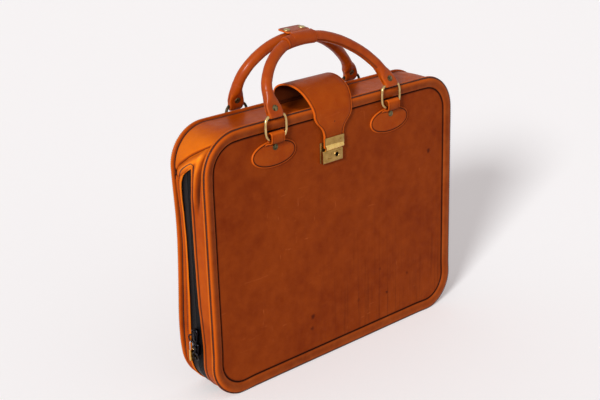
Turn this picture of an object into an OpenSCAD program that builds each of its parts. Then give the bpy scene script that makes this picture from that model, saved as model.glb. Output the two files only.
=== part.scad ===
// Slim leather travel case: two stiff framed panels joined by a leather gusset, with a zip round
// three sides, two rolled handles on rings, and a flap that locks over the top.
// The front faces -Y, +X is to the right seen from the front, and the floor is z = 0.

/* [Case] */
// Overall width, over the rims
case_w = 520; // [460:10:600]
// Overall height, over the rims
case_h = 413; // [370:1:450]
// Depth over the front and rear borders
case_d = 78; // [72:1:100]
// Outside radius of the four corners
corner_r = 60; // [45:1:75]
// Width of each rim, along the depth
rim_d = 6; // [4:0.5:8]
// Thickness of each rim, inwards from the outside
rim_t = 4; // [3.5:0.5:5]
// Width of the leather border round each panel, from the outside of the rim
border_w = 17.5; // [14:0.5:22]
// Thickness of the border's leather
border_t = 1.5; // [1:0.1:2.5]
// Thickness of the panel's leather
panel_t = 3; // [2:0.1:4]
// Thickness of the stiffening board behind each panel
board_t = 2.5; // [1.5:0.1:4]
// Thickness of the cloth lining on each board
lining_t = 1.2; // [0.8:0.1:2]
// Thickness of the gusset's leather
gusset_t = 3; // [2:0.1:4]
// How far the gusset lies inside the outside of the rims
gusset_inset = 2.5; // [1.5:0.1:3]

/* [Zip] */
// Where the zip runs along the depth, from the middle of the case
zip_y = 1; // [-4:0.5:4]
// Width of the black tape that shows between the two side gussets
zip_w = 22; // [18:0.5:26]
// Thickness of the tape
tape_t = 1.2; // [0.8:0.1:1.6]
// Width of one half of the chain
chain_w = 3; // [2.6:0.1:3.4]
// Thickness of the chain
chain_t = 2.6; // [2.2:0.1:3]
// Distance from tooth to tooth
tooth_pitch = 5; // [4:0.5:7]
// How far the zip's upper ends lie below the top of the case, at the chain
zip_drop = 63; // [61:1:93]
// Slope of the seam across the zip's upper ends, in degrees, higher at the front
seam_slope = 29; // [20:1:32]
// Gap between the top gusset and the lid's side gusset
seam_gap = 0.4; // [0.3:0.1:0.8]
// Length of a slider
slider_l = 22; // [18:1:24]
// Width of a slider
slider_w = 9; // [8:0.5:10]
// Thickness of a slider's plate
slider_t = 3; // [2.8:0.1:3.4]
// Height above the floor of the line where the two sliders meet
slider_meet_z = 87; // [84:1:120]
// Outside diameter of a pull ring
pull_d = 14; // [12:0.5:16]
// Wire diameter of a pull ring
pull_wire = 1.5; // [1.3:0.1:1.6]

/* [Padlock] */
// Width of the padlock's body
lock_body_w = 8.8; // [8.4:0.1:8.9]
// Thickness of the padlock's body
lock_body_t = 4.6; // [4:0.1:5.4]
// Height of the padlock's body
lock_body_h = 18; // [14:1:20]
// Wire diameter of the shackle
shackle_wire = 1.7; // [1.5:0.1:1.8]
// Height of the shackle above the padlock's body
shackle_h = 14; // [11:0.5:16]

/* [Handles] */
// Sideways place of the handles, chapes, flap and lock, from the middle of the case
fitting_x = -10; // [-16:1:0]
// Half the distance between a handle's two feet
handle_half = 119; // [110:1:130]
// Diameter of the rolled grip
grip_d = 16.5; // [15:0.5:18]
// Diameter of the cord core inside the grip
core_d = 11; // [9:0.5:12]
// Straight length of the left foot above the ring
left_rise = 42; // [36:1:46]
// Straight length of the right foot above the ring
right_rise = 24; // [22:1:28]
// Radius of the bend above the left foot
left_bend = 52; // [44:1:56]
// Radius of the bend above the right foot
right_bend = 34; // [30:1:40]
// Radius of the long curve over the top
top_bend = 220; // [205:5:240]
// How far each handle leans in over the case, in degrees
lean = 20.9; // [19:0.1:21]
// Width of a handle's folded end, along the ring's bar
end_w = 24; // [20:0.5:24]
// Thickness of a handle's folded end
end_t = 9; // [8:0.5:10]
// Length of a handle's folded end above the ring's bar
end_l = 24; // [21:1:26]
// Diameter of the rivet heads
rivet_d = 6.4; // [5:0.2:7]
// Height of the rivet heads
rivet_h = 1.2; // [0.8:0.1:1.5]

/* [Rings and chapes] */
// Width of a ring, between the middles of its wires
ring_w = 42; // [40:0.5:44]
// Height of a ring, between the middles of its bars
ring_h = 38; // [36:0.5:42]
// Bend radius of a ring's corners
ring_bend = 14; // [13:0.5:15]
// Wire diameter of a ring
ring_wire = 4.5; // [4:0.1:4.8]
// How far a ring's lower bar lies below the top of the case
ring_drop = 30; // [27:1:43]
// Thickness of the leather round a ring's bar
loop_t = 2; // [1.5:0.1:2.4]
// Length of an oval chape
chape_w = 92; // [80:1:98]
// Height of an oval chape
chape_h = 42; // [38:1:46]
// Thickness of a chape
chape_t = 2.5; // [2:0.1:3]
// How far a chape's middle lies below the top of the case
chape_drop = 53; // [51:1:59]
// Radius of a chape's two rounded ends
chape_end = 17; // [15:0.5:18]

/* [Handle wrap] */
// Length of the sleeve round the front grip
sleeve_l = 60; // [50:1:70]
// Thickness of the sleeve's leather
sleeve_t = 1.6; // [1.2:0.1:1.8]
// Length of the tab along the grips
tab_l = 50; // [40:1:56]
// Width of the tab, from front to rear
tab_w = 27; // [24:0.5:30]
// Thickness of the tab
tab_t = 2.6; // [2:0.1:3]
// Slope of the tab, up to the rear, in degrees
tab_slope = 9; // [9:1:14]
// Diameter of the tab's two snap caps
snap_d = 9; // [7:0.5:10]
// Distance between the two snap caps
snap_gap = 27; // [22:1:30]

/* [Flap and lock] */
// Width of the flap at its root
flap_root_w = 98; // [88:1:104]
// Width of the flap where it turns down over the front
flap_front_w = 80; // [70:1:86]
// Width of the flap's lower end
flap_end_w = 40; // [36:1:44]
// Thickness of the flap's leather
flap_t = 3; // [2.4:0.1:3.6]
// Outside radius of the flap's arch
arch_r = 39; // [37:0.5:41]
// Middle of the arch behind the front border
arch_back = 34; // [32:0.5:36]
// Middle of the arch below the top of the case
arch_drop = 8; // [6:0.5:10]
// Length of the sewn anchor strip under the flap's root
anchor_l = 12; // [9:0.5:15]
// Thickness of the anchor strip
anchor_t = 2; // [1.5:0.1:2.5]
// Arc of the heel between the anchor and the flap, in degrees
heel_arc = 12; // [10:1:16]
// How far below the top of the case the flap reaches its narrow end
flap_narrow_drop = 51; // [45:1:55]
// How far the flap's lower edge lies below the top of the case
flap_end_drop = 66; // [63:1:68]
// Width of the lock case
lock_w = 42; // [40:1:46]
// How far the lock case's lower edge lies below the top of the case
lock_drop = 88.5; // [85:0.5:95]
// Height of the lock case's body
lock_h = 18; // [16:0.5:18]
// Depth of the lock case's body
lock_d = 7; // [5:0.5:8]
// Diameter of the lock's cylinder
key_d = 9; // [7:0.5:11]
// Height of the hasp plate
hasp_h = 19.4; // [17:0.2:21]
// Thickness of the hasp plate
hasp_t = 1.6; // [1.2:0.1:2]
// Depth of the hasp plate's lower lip
lip_d = 3.5; // [3:0.1:4]
// Height of the hasp plate's lower lip
lip_h = 6; // [5:0.5:7]

/* [Clearances] */
// Running gap between a soft piece and what moves past it
gap = 0.3; // [0.2:0.05:0.4]
// Gap round a pin or a bar in its leather loop
loop_gap = 0.35; // [0.3:0.05:0.45]
// Gap round the lock's cylinder
key_gap = 0.05; // [0.03:0.01:0.08]

/* [Hidden] */
$fn = 48;
fine = 96;

// How far a cut runs past a face
cut = 1;
big = 2 * (case_w + case_h);
half_d = case_d / 2;
rim_in = half_d - rim_d;
panel_y = half_d - border_t - panel_t;
board_y = panel_y - board_t;
lining_y = board_y - lining_t;
inner_inset = gusset_inset + gusset_t + gap;
tape_inset = gusset_inset + (gusset_t - tape_t) / 2;
chain_inset = gusset_inset + (gusset_t - chain_t) / 2;
spine_w = chain_w / 2;
tooth_w = tooth_pitch / 2 - gap;
first_tooth = 0.5;
panel_face = half_d - border_t;

// Heights above the floor of what hangs from the top of the case
zip_top = case_h - zip_drop;
ring_z = case_h - ring_drop;
chape_z = case_h - chape_drop;
flap_narrow_z = case_h - flap_narrow_drop;
flap_end_z = case_h - flap_end_drop;
lock_z = case_h - lock_drop;
chain_top = zip_top - chain_w * 2;

// The zip
slider_x = case_w / 2 - chain_inset + gap;
pull_r = (pull_d - pull_wire) / 2;
pull_x = slider_x + slider_t + pull_wire / 2 + gap;
eye_r = pull_wire / 2 + loop_gap;
eye_wall = 0.9;
eye_l = 3;
upper_eye_y = zip_y + slider_w / 2;
eye_inset = 4;
upper_eye_z = slider_meet_z + eye_inset;
lower_eye_z = slider_meet_z - slider_l + 2 * eye_inset;

// The padlock hangs from the lowest point of the upper pull ring
hang_y = upper_eye_y + pull_r;
hang_z = upper_eye_z - pull_r;
shackle_wall = 0.8;
shackle_half = (lock_body_w - shackle_wire) / 2 - shackle_wall;
hang_room = shackle_half - shackle_wire / 2 - pull_wire / 2;
shackle_x = pull_x + hang_room / 2;
shackle_z = hang_z - sqrt(pow(hang_room - key_gap * 2, 2) - pow(hang_room / 2, 2));
padlock_top = shackle_z + shackle_half + shackle_wire / 2 - shackle_h;
long_leg = 7;
short_leg = 3;
hole_spare = 2;

// The handles, rings and chapes
loop_sag = ring_bend - sqrt(pow(ring_bend, 2) - pow((end_w - ring_w) / 2 + ring_bend, 2));
loop_bore = ring_wire / 2 + loop_sag + loop_gap;
loop_r = loop_bore + loop_t;
ring_y = half_d + gap + loop_r;
bar_top_z = ring_z + ring_h;
left_x = fitting_x - handle_half;
right_x = fitting_x + handle_half;
left_c = [left_bend - handle_half, left_rise];
right_c = [handle_half - right_bend, right_rise];
top_c = meet(left_c, top_bend - left_bend, right_c, top_bend - right_bend);
left_a = atan2(left_c[1] - top_c[1], left_c[0] - top_c[0]);
right_a = atan2(right_c[1] - top_c[1], right_c[0] - top_c[0]);
apex = top_c[1] + top_bend;
nose_l = 2;
nose_z = end_l - nose_l;
rivet_z = 11;
rivet_hole = 1.6;
grip_sides = 16;
// Where a grip's rings stand: the place in its plane, and the angle of the plane's outward normal
stations = concat(
    [[[-handle_half, end_l], 180]],
    arc_stations(left_c, left_bend, 180, left_a, 8, left_rise > end_l ? 0 : 1),
    arc_stations(top_c, top_bend, left_a, right_a, 13, 1),
    arc_stations(right_c, right_bend, right_a, 0, 7, 1),
    right_rise > end_l ? [[[handle_half, end_l], 0]] : []);

// The wrap round the two grips
sleeve_bore = grip_d + 4 * key_gap;
sleeve_r = sleeve_bore / 2 + sleeve_t;
grip_y = ring_y - apex * sin(lean);
grip_z = bar_top_z + apex * cos(lean);
tab_back = 3;
tab_y = -grip_y + tab_back;
tab_z = grip_z + sqrt(pow(sleeve_r, 2) - pow(tab_back, 2)) + tab_t / 2 + 2 * gap;
tab_x = fitting_x + top_c[0];

// The flap
arch_y = arch_back - half_d;
arch_z = case_h - arch_drop;
arch_mid = arch_r - flap_t / 2;
gusset_top = case_h - gusset_inset;
heel_axis_z = gusset_top + anchor_t + flap_t / 2 + gap;
heel_a = asin((heel_axis_z - arch_z) / arch_mid);
flap_a = heel_a + heel_arc;
heel_end_a = flap_a - (flap_t / 2 + gap) / arch_mid * 180 / PI;
heel_axis_y = arch_y + arch_mid * cos(heel_a);
flap_axis = [arch_y + arch_mid * cos(flap_a), arch_z + arch_mid * sin(flap_a)];
flap_front = arch_r - arch_y;
flap_turn = 2 * atan((flap_front_w - flap_end_w) / 2 / (arch_z - flap_narrow_z));
key_z = lock_z + lock_h / 2;
lap_gap = 0.5;
plate_y = flap_front - flap_t - lap_gap;

// The lower crossing of two circles
function meet(c1, r1, c2, r2) =
    let (d = norm(c2 - c1), t = (r1 * r1 - r2 * r2 + d * d) / (2 * d), h = sqrt(r1 * r1 - t * t),
         u = (c2 - c1) / d)
    c1 + t * u + h * [u[1], -u[0]];

// Flat outlines, in the plane of the panels, standing on the floor line
module outline(inset) {
    w = case_w / 2 - inset;
    r = corner_r - inset;
    translate([0, case_h / 2]) {
        square([2 * w, case_h - 2 * corner_r], center = true);
        square([case_w - 2 * corner_r, case_h - 2 * inset], center = true);
        for (sx = [-1, 1], sz = [-1, 1])
            translate([sx * (case_w / 2 - corner_r), sz * (case_h / 2 - corner_r)]) circle(r);
    }
}

module band_outline(out, in) {
    difference() {
        outline(out);
        outline(in);
    }
}

// Stands an outline up and gives it its depth, from y0 back to y1
module upright(y0, y1) {
    translate([0, y1, 0]) rotate([90, 0, 0]) linear_extrude(y1 - y0) children();
}

module to_front() {
    mirror([0, 1, 0]) children();
}

// What lies under or over the slanting seams at the zip's upper ends
module below_seam(lift) {
    rise = tan(seam_slope) * case_d;
    z = zip_top + lift;
    rotate([90, 0, 90]) translate([0, 0, -big / 2]) linear_extrude(big)
        polygon([[zip_y - case_d, -cut], [zip_y + case_d, -cut],
                 [zip_y + case_d, z - rise], [zip_y - case_d, z + rise]]);
}

// One panel with its border, rim, board and lining, on the rear; the front mirrors them
module panel_slab() {
    upright(panel_y, half_d - border_t) outline(rim_t);
}

module border_slab() {
    upright(half_d - border_t, half_d) band_outline(rim_t, border_w);
}

module rim_ring() {
    upright(rim_in, half_d) band_outline(0, rim_t);
}

module board_slab() {
    upright(board_y, panel_y) outline(inner_inset);
}

module lining_slab() {
    upright(lining_y, board_y) outline(inner_inset);
}

module side_strip(y0, y1) {
    intersection() {
        upright(y0, y1) band_outline(gusset_inset, gusset_inset + gusset_t);
        below_seam(0);
    }
}

module tape_strip(y0, y1) {
    intersection() {
        upright(y0, y1) band_outline(tape_inset, tape_inset + tape_t);
        below_seam(0);
    }
}

// One half of the chain, on the rear: a spine with teeth that reach in to the middle of the zip
module chain_half(start) {
    out = chain_inset;
    in = chain_inset + chain_t;
    intersection() {
        union() {
            upright(spine_w, chain_w) band_outline(out, in);
            upright(gap / 2, spine_w) intersection() {
                band_outline(out, in);
                tooth_bars(start);
            }
        }
        translate([-case_w, -case_d, 0]) cube([2 * case_w, 2 * case_d, chain_top]);
    }
}

// Bars across the outline, one for each tooth: level at the sides, upright below, fanned at the corners
module tooth_bars(start) {
    side = chain_top - corner_r;
    run = case_w - 2 * corner_r;
    degree = PI / 180 * (corner_r - chain_inset);
    turn = tooth_w / degree;
    bends = floor(90 * degree / tooth_pitch);
    for (s = [-1, 1]) {
        for (i = [0:floor((side - start - tooth_w) / tooth_pitch)])
            translate([s * (case_w - corner_r) / 2, corner_r + start + i * tooth_pitch + tooth_w / 2])
                square([corner_r, tooth_w], center = true);
        for (i = [0:bends - 1])
            translate([s * run / 2, corner_r])
                rotate([0, 0, s * (i * 90 / bends + start / degree + turn / 2) - 90])
                polygon([[0, 0], corner_r * [cos(turn / 2), -sin(turn / 2)],
                         corner_r * [cos(turn / 2), sin(turn / 2)]]);
    }
    for (i = [0:floor((run - start - tooth_w) / tooth_pitch)])
        translate([start + i * tooth_pitch - run / 2, 0]) square([tooth_w, corner_r]);
}

// An oval of four arcs
module oval(w, h, end_r) {
    a = w / 2 - end_r;
    b = h / 2;
    r = (a * a + b * b - end_r * end_r) / (2 * (b - end_r));
    touch = a + end_r * a / (r - end_r);
    for (s = [-1, 1]) translate([s * a, 0]) circle(end_r);
    intersection() {
        translate([0, b - r]) circle(r, $fn = 2 * fine);
        translate([0, r - b]) circle(r, $fn = 2 * fine);
        square([2 * touch, h], center = true);
    }
}

// A chape on the rear, with x at its own middle
module chape_solid() {
    neck_z = chape_z + chape_h / 3;
    p = [panel_face + chape_t, neck_z];
    d = norm([ring_y, ring_z] - p);
    a = atan2(ring_z - p[1], ring_y - p[0]) - asin(loop_r / d);
    t = p + sqrt(d * d - loop_r * loop_r) * [cos(a), sin(a)];
    flank = chape_h / 3;
    difference() {
        union() {
            upright(panel_face, p[0]) translate([0, chape_z]) oval(chape_w, chape_h, chape_end);
            intersection() {
                rotate([90, 0, 90]) translate([0, 0, -chape_w / 2]) linear_extrude(chape_w) {
                    polygon([[panel_face, neck_z], p, t, [ring_y, ring_z], [panel_face, ring_z]]);
                    translate([ring_y, ring_z]) circle(loop_r);
                }
                upright(panel_face, ring_y + loop_r) difference() {
                    translate([-end_w / 2 - flank, neck_z]) square([end_w + 2 * flank, 2 * flank + loop_r]);
                    for (s = [-1, 1]) {
                        translate([s * (end_w / 2 + flank), ring_z + gap]) circle(flank);
                        translate([s * (end_w / 2 + flank) - flank, ring_z]) square(2 * flank);
                    }
                }
            }
        }
        translate([-chape_w, ring_y, ring_z]) rotate([0, 90, 0]) cylinder(h = 2 * chape_w, r = loop_bore);
    }
}

module dome(d, h) {
    base = 0.4 * h;
    r = (pow(d / 2, 2) + pow(h - base, 2)) / (2 * (h - base));
    cylinder(h = base, d = d);
    intersection() {
        translate([0, 0, h - r]) sphere(r);
        cylinder(h = h, d = d);
    }
}

module chape_rivet_pair() {
    for (x = [left_x, right_x])
        translate([x, panel_face + chape_t, chape_z + chape_h / 4]) rotate([-90, 0, 0]) dome(rivet_d, rivet_h);
}

module ring_solid() {
    w = ring_w / 2 - ring_bend;
    h = ring_h / 2 - ring_bend;
    translate([0, ring_y, ring_z + ring_h / 2]) rotate([90, 0, 0]) {
        for (s = [-1, 1]) {
            translate([-w, s * ring_h / 2, 0]) rotate([0, 90, 0]) cylinder(h = 2 * w, d = ring_wire);
            translate([s * ring_w / 2, -h, 0]) rotate([-90, 0, 0]) cylinder(h = 2 * h, d = ring_wire);
        }
        for (k = [0:3])
            translate([(k == 0 || k == 3 ? 1 : -1) * w, (k < 2 ? 1 : -1) * h, 0])
                arc_rod([0, 0], ring_bend, k * 90, k * 90 + 90, ring_wire, 0);
    }
}

// A round rod, or a tube with a bore, bent along an arc in the XY plane
module arc_rod(c, r, a0, a1, d, bore) {
    translate([c[0], c[1], 0]) rotate([0, 0, a0]) rotate_extrude(angle = a1 - a0, $fn = fine)
        translate([r, 0]) difference() {
            circle(d = d);
            if (bore > 0) circle(d = bore);
        }
}

function arc_stations(c, r, a0, a1, n, first) =
    [for (i = [first:n]) let (a = a0 + (a1 - a0) * i / n) [c + r * [cos(a), sin(a)], a]];

// One ring of points round a station
function ring_points(s, r, n) =
    [for (j = [0:n - 1]) let (a = 360 * j / n, k = r * cos(a))
        [s[0][0] + k * cos(s[1]), s[0][1] + k * sin(s[1]), r * sin(a)]];

// The skin between two rings whose points start at i and k
function skin(i, k, n) =
    [for (j = [0:n - 1], t = [0, 1]) let (m = (j + 1) % n)
        t == 0 ? [i + j, k + j, k + m] : [i + j, k + m, i + m]];

module swept_rod(d, n) {
    count = len(stations);
    last = (count - 1) * n;
    polyhedron(
        [for (s = stations) each ring_points(s, d / 2, n)],
        concat([for (i = [0:count - 2]) each skin(i * n, (i + 1) * n, n)],
               [for (j = [1:n - 2]) [0, j, j + 1]],
               [for (j = [1:n - 2]) [last, last + j + 1, last + j]]));
}

module swept_tube(d, bore, n) {
    count = len(stations);
    half = count * n;
    last = (count - 1) * n;
    polyhedron(
        concat([for (s = stations) each ring_points(s, d / 2, n)],
               [for (s = stations) each ring_points(s, bore / 2, n)]),
        concat([for (i = [0:count - 2]) each skin(i * n, (i + 1) * n, n)],
               [for (i = [0:count - 2]) each skin(half + (i + 1) * n, half + i * n, n)],
               skin(half, 0, n), skin(last, half + last, n)));
}

// One folded end, round the ring's bar
module folded_end() {
    difference() {
        union() {
            rotate([0, 90, 0]) translate([0, 0, -end_w / 2]) cylinder(h = end_w, r = loop_r);
            translate([0, 0, -end_t / 2]) linear_extrude(end_t)
                polygon([[-end_w / 2, 0], [end_w / 2, 0], [end_w / 2, loop_r],
                         [grip_d / 2, nose_z], [-grip_d / 2, nose_z], [-end_w / 2, loop_r]]);
            translate([0, nose_z, 0]) {
                intersection() {
                    sphere(d = grip_d);
                    translate([-grip_d / 2, -grip_d, -grip_d / 2]) cube(grip_d);
                }
                rotate([-90, 0, 0]) cylinder(h = nose_l, d = grip_d);
            }
        }
        rotate([0, 90, 0]) translate([0, 0, -end_w]) cylinder(h = 2 * end_w, r = loop_bore);
        translate([0, rivet_z, -end_t]) cylinder(h = 2 * end_t, r = rivet_hole);
    }
}

// Puts a piece that is drawn in the grip's plane on the rear rings, leaning in
module on_rings() {
    translate([fitting_x, ring_y, bar_top_z]) rotate([90 + lean, 0, 0]) children();
}

module grip() {
    on_rings() swept_tube(grip_d, core_d + 2 * key_gap, grip_sides);
}

module grip_core() {
    on_rings() swept_rod(core_d, grip_sides);
}

module folded_ends() {
    on_rings() for (s = [-1, 1]) translate([s * handle_half, 0, 0]) folded_end();
}

module handle_rivets() {
    on_rings() for (s = [-1, 1]) translate([s * handle_half, rivet_z, 0]) {
        translate([0, 0, -end_t / 2]) cylinder(h = end_t, r = rivet_hole - key_gap);
        for (m = [0, 1]) mirror([0, 0, m]) translate([0, 0, end_t / 2]) dome(rivet_d, rivet_h);
    }
}

// The flap's outline from the front, in X and Z: wide above, narrowing in two arcs to its end
module flap_outline() {
    top = arch_z;
    r = (top - flap_narrow_z) / 2 / sin(flap_turn);
    mid_z = (top + flap_narrow_z) / 2;
    mid_x = (flap_front_w + flap_end_w) / 4;
    translate([-flap_root_w, top]) square([2 * flap_root_w, case_h]);
    for (s = [-1, 1]) intersection() {
        translate([s * (flap_front_w / 2 - r), top]) circle(r, $fn = fine);
        translate([-flap_root_w, mid_z]) square([2 * flap_root_w, top - mid_z]);
    }
    translate([r - flap_front_w / 2, mid_z]) square([flap_front_w - 2 * r, top - mid_z]);
    difference() {
        translate([-mid_x, flap_narrow_z]) square([2 * mid_x, mid_z - flap_narrow_z]);
        for (s = [-1, 1]) translate([s * (flap_end_w / 2 + r), flap_narrow_z]) circle(r, $fn = fine);
    }
    translate([-flap_end_w / 2, flap_end_z]) square([flap_end_w, flap_narrow_z - flap_end_z]);
}

// The flap's outline from above, in X and Y
module flap_plan() {
    rear = arch_y + arch_r;
    polygon([[-flap_root_w / 2, rear], [flap_root_w / 2, rear],
             [flap_front_w / 2, -flap_front], [-flap_front_w / 2, -flap_front]]);
}

// A stretch of the arch, in Y and Z
module arch_sector(a0, a1) {
    rotate([90, 0, 90]) translate([0, 0, -flap_root_w / 2]) linear_extrude(flap_root_w)
        translate([arch_y, arch_z]) intersection() {
            difference() {
                circle(arch_r, $fn = fine);
                circle(arch_r - flap_t, $fn = fine);
            }
            wedge(a0, a1);
        }
}

module wedge(a0, a1) {
    far = 3 * arch_r;
    steps = ceil((a1 - a0) / 60);
    polygon([[0, 0], for (i = [0:steps]) far * [cos(a0 + (a1 - a0) * i / steps), sin(a0 + (a1 - a0) * i / steps)]]);
}

// A rounded edge of the flap's leather, across the case
module soft_edge(y, z, w) {
    translate([-w / 2, y, z]) rotate([0, 90, 0]) cylinder(h = w, d = flap_t);
}

// A slider's plate with its raised body; the eye for the pull ring comes from the caller
module slider_solid(z0) {
    nose = slider_w / 3;
    rotate([0, -90, 0]) translate([z0, zip_y, slider_x]) {
        linear_extrude(slider_t / 2) slider_outline(0);
        translate([0, 0, slider_t / 2]) linear_extrude(slider_t / 2) slider_outline(nose / 3);
    }
}

module slider_outline(inset) {
    r = slider_w / 2 - inset;
    translate([slider_w / 2, 0]) circle(r);
    translate([slider_l - slider_w / 2, 0]) circle(r);
    translate([slider_w / 2, -r]) square([slider_l - slider_w, 2 * r]);
}

module eye(turn) {
    rotate([turn, 0, 0]) translate([0, 0, -eye_l / 2]) difference() {
        cylinder(h = eye_l, r = eye_r + eye_wall);
        translate([0, 0, -cut]) cylinder(h = eye_l + 2 * cut, r = eye_r);
    }
}

// The rear half, which stands still
module rear_panel() { color("sienna") panel_slab(); }
module rear_border() { color("chocolate") border_slab(); }
module rear_rim() { color("saddlebrown") rim_ring(); }
module rear_board() { color("burlywood") board_slab(); }
module rear_lining() { color("tan") lining_slab(); }

module top_gusset() {
    color("peru") difference() {
        upright(gap - rim_in, rim_in) band_outline(gusset_inset, gusset_inset + gusset_t);
        below_seam(seam_gap);
    }
}

module rear_side_gusset() { color("peru") side_strip(zip_y + zip_w / 2, rim_in); }
module rear_zip_tape() { color("black") tape_strip(zip_y + chain_w, zip_y + zip_w / 2); }
module rear_zip_chain() { color("dimgray") translate([0, zip_y, 0]) chain_half(first_tooth); }

module flap_anchor() {
    rear = heel_axis_y + flap_t / 2;
    color("saddlebrown") translate([fitting_x - flap_root_w / 2, rear - anchor_l, gusset_top])
        cube([flap_root_w, anchor_l, anchor_t]);
}

module rear_left_chape() { color("sienna") translate([left_x, 0, 0]) chape_solid(); }
module rear_right_chape() { color("sienna") translate([right_x, 0, 0]) chape_solid(); }
module rear_chape_rivets() { color("darkkhaki") chape_rivet_pair(); }

// The front half, which opens as the lid
module front_panel() { color("sienna") to_front() panel_slab(); }
module front_border() { color("chocolate") to_front() border_slab(); }
module front_rim() { color("saddlebrown") to_front() rim_ring(); }
module front_board() { color("burlywood") to_front() board_slab(); }
module front_lining() { color("tan") to_front() lining_slab(); }
module front_side_gusset() { color("peru") side_strip(-rim_in, zip_y - zip_w / 2); }
module front_zip_tape() { color("black") tape_strip(zip_y - zip_w / 2, zip_y - chain_w); }

module front_zip_chain() {
    color("dimgray") translate([0, zip_y, 0]) to_front() chain_half(first_tooth + tooth_pitch / 2);
}

module front_left_chape() { color("sienna") to_front() translate([left_x, 0, 0]) chape_solid(); }
module front_right_chape() { color("sienna") to_front() translate([right_x, 0, 0]) chape_solid(); }
module front_chape_rivets() { color("darkkhaki") to_front() chape_rivet_pair(); }

module lock_case() {
    bevel = 1.2;
    face = plate_y + lock_d;
    back_top = flap_narrow_z - lip_h;
    color("goldenrod") translate([fitting_x, 0, 0]) difference() {
        union() {
            translate([-lock_w / 2, -plate_y, lock_z]) cube([lock_w, plate_y - panel_face, back_top - lock_z]);
            rotate([90, 0, 90]) translate([0, 0, -lock_w / 2]) linear_extrude(lock_w)
                polygon([[-panel_face, lock_z], [bevel - face, lock_z], [-face, lock_z + bevel],
                         [-face, lock_z + lock_h - bevel], [bevel - face, lock_z + lock_h],
                         [-panel_face, lock_z + lock_h]]);
        }
        translate([0, -plate_y, key_z]) rotate([90, 0, 0])
            cylinder(h = 2 * lock_d, d = key_d + 2 * key_gap);
    }
}

module lock_cylinder() {
    slot_w = 1.2;
    slot_l = key_d / 2;
    slot_depth = 2;
    color("gold") translate([fitting_x, -plate_y - gap, key_z]) rotate([90, 0, 0]) difference() {
        cylinder(h = lock_d, d = key_d);
        translate([-slot_w / 2, -slot_l / 2, lock_d - slot_depth]) cube([slot_w, slot_l, slot_depth + cut]);
    }
}

// The flap
module flap_heel() {
    color("sienna") translate([fitting_x, 0, 0]) intersection() {
        union() {
            arch_sector(heel_a, heel_end_a);
            soft_edge(heel_axis_y, heel_axis_z, flap_root_w);
        }
        translate([0, 0, arch_z]) linear_extrude(big) flap_plan();
    }
}

module flap() {
    color("sienna") translate([fitting_x, 0, 0]) intersection() {
        union() {
            arch_sector(flap_a, 180);
            soft_edge(flap_axis[0], flap_axis[1], flap_root_w);
            translate([-flap_front_w / 2, -flap_front, flap_end_z])
                cube([flap_front_w, flap_t, arch_z - flap_end_z]);
        }
        translate([0, 0, -cut]) linear_extrude(big) flap_plan();
        upright(-case_d, case_d) flap_outline();
    }
}

module hasp_plate() {
    z0 = flap_narrow_z - hasp_h + gap;
    y = -flap_front;
    color("goldenrod") translate([fitting_x, 0, 0]) rotate([90, 0, 90])
        translate([0, 0, -flap_end_w / 2]) linear_extrude(flap_end_w)
            polygon([[y, z0], [y - lip_d, z0], [y - lip_d, z0 + lip_h / 3], [y - hasp_t, z0 + lip_h],
                     [y - hasp_t, z0 + hasp_h], [y, z0 + hasp_h]]);
}

module hasp_rivets() {
    spread = flap_end_w / 2 - rivet_d;
    color("gold") for (s = [-1, 1])
        translate([fitting_x + s * spread, -flap_front - hasp_t, flap_narrow_z - hasp_h / 3])
            rotate([90, 0, 0]) dome(rivet_d / 2, rivet_h / 2);
}

// The handles and their rings
module front_left_ring() { color("goldenrod") to_front() translate([left_x, 0, 0]) ring_solid(); }
module front_right_ring() { color("goldenrod") to_front() translate([right_x, 0, 0]) ring_solid(); }
module rear_left_ring() { color("goldenrod") translate([left_x, 0, 0]) ring_solid(); }
module rear_right_ring() { color("goldenrod") translate([right_x, 0, 0]) ring_solid(); }
module front_grip() { color("chocolate") to_front() grip(); }
module front_grip_core() { color("wheat") to_front() grip_core(); }
module front_handle_ends() { color("sienna") to_front() folded_ends(); }
module front_handle_rivets() { color("darkkhaki") to_front() handle_rivets(); }
module rear_grip() { color("chocolate") grip(); }
module rear_grip_core() { color("wheat") grip_core(); }
module rear_handle_ends() { color("sienna") folded_ends(); }
module rear_handle_rivets() { color("darkkhaki") handle_rivets(); }

module handle_sleeve() {
    turn = sleeve_l / 2 / top_bend * 180 / PI;
    color("sienna") to_front() on_rings()
        arc_rod(top_c, top_bend, 90 - turn, 90 + turn, 2 * sleeve_r, sleeve_bore);
}

module handle_tab() {
    corner = 4;
    color("sienna") translate([tab_x, tab_y, tab_z]) rotate([tab_slope, 0, 0]) {
        translate([-tab_l / 2, 0, 0]) rotate([0, 90, 0]) cylinder(h = tab_l, d = tab_t);
        translate([0, 0, -tab_t / 2]) linear_extrude(tab_t) {
            translate([-tab_l / 2, 0]) square([tab_l, tab_w - corner]);
            translate([corner - tab_l / 2, 0]) square([tab_l - 2 * corner, tab_w]);
            for (s = [-1, 1]) translate([s * (tab_l / 2 - corner), tab_w - corner]) circle(corner);
        }
    }
}

module tab_snaps() {
    snap_h = 1.8;
    color("darkkhaki") translate([tab_x, tab_y, tab_z]) rotate([tab_slope, 0, 0])
        for (s = [-1, 1]) translate([s * snap_gap / 2, tab_w / 2, tab_t / 2]) dome(snap_d, snap_h);
}

// The zip's sliders, their pull rings and the padlock
module upper_slider() {
    color("dimgray") {
        slider_solid(slider_meet_z + gap);
        translate([-pull_x, upper_eye_y, upper_eye_z]) eye(0);
    }
}

module lower_slider() {
    color("dimgray") {
        slider_solid(slider_meet_z - gap - slider_l);
        translate([-pull_x, zip_y, lower_eye_z]) eye(90);
    }
}

module pull_ring(y, z) {
    translate([-pull_x, y, z]) rotate([0, 90, 0]) arc_rod([0, 0], pull_r, 0, 360, pull_wire, 0);
}

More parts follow.
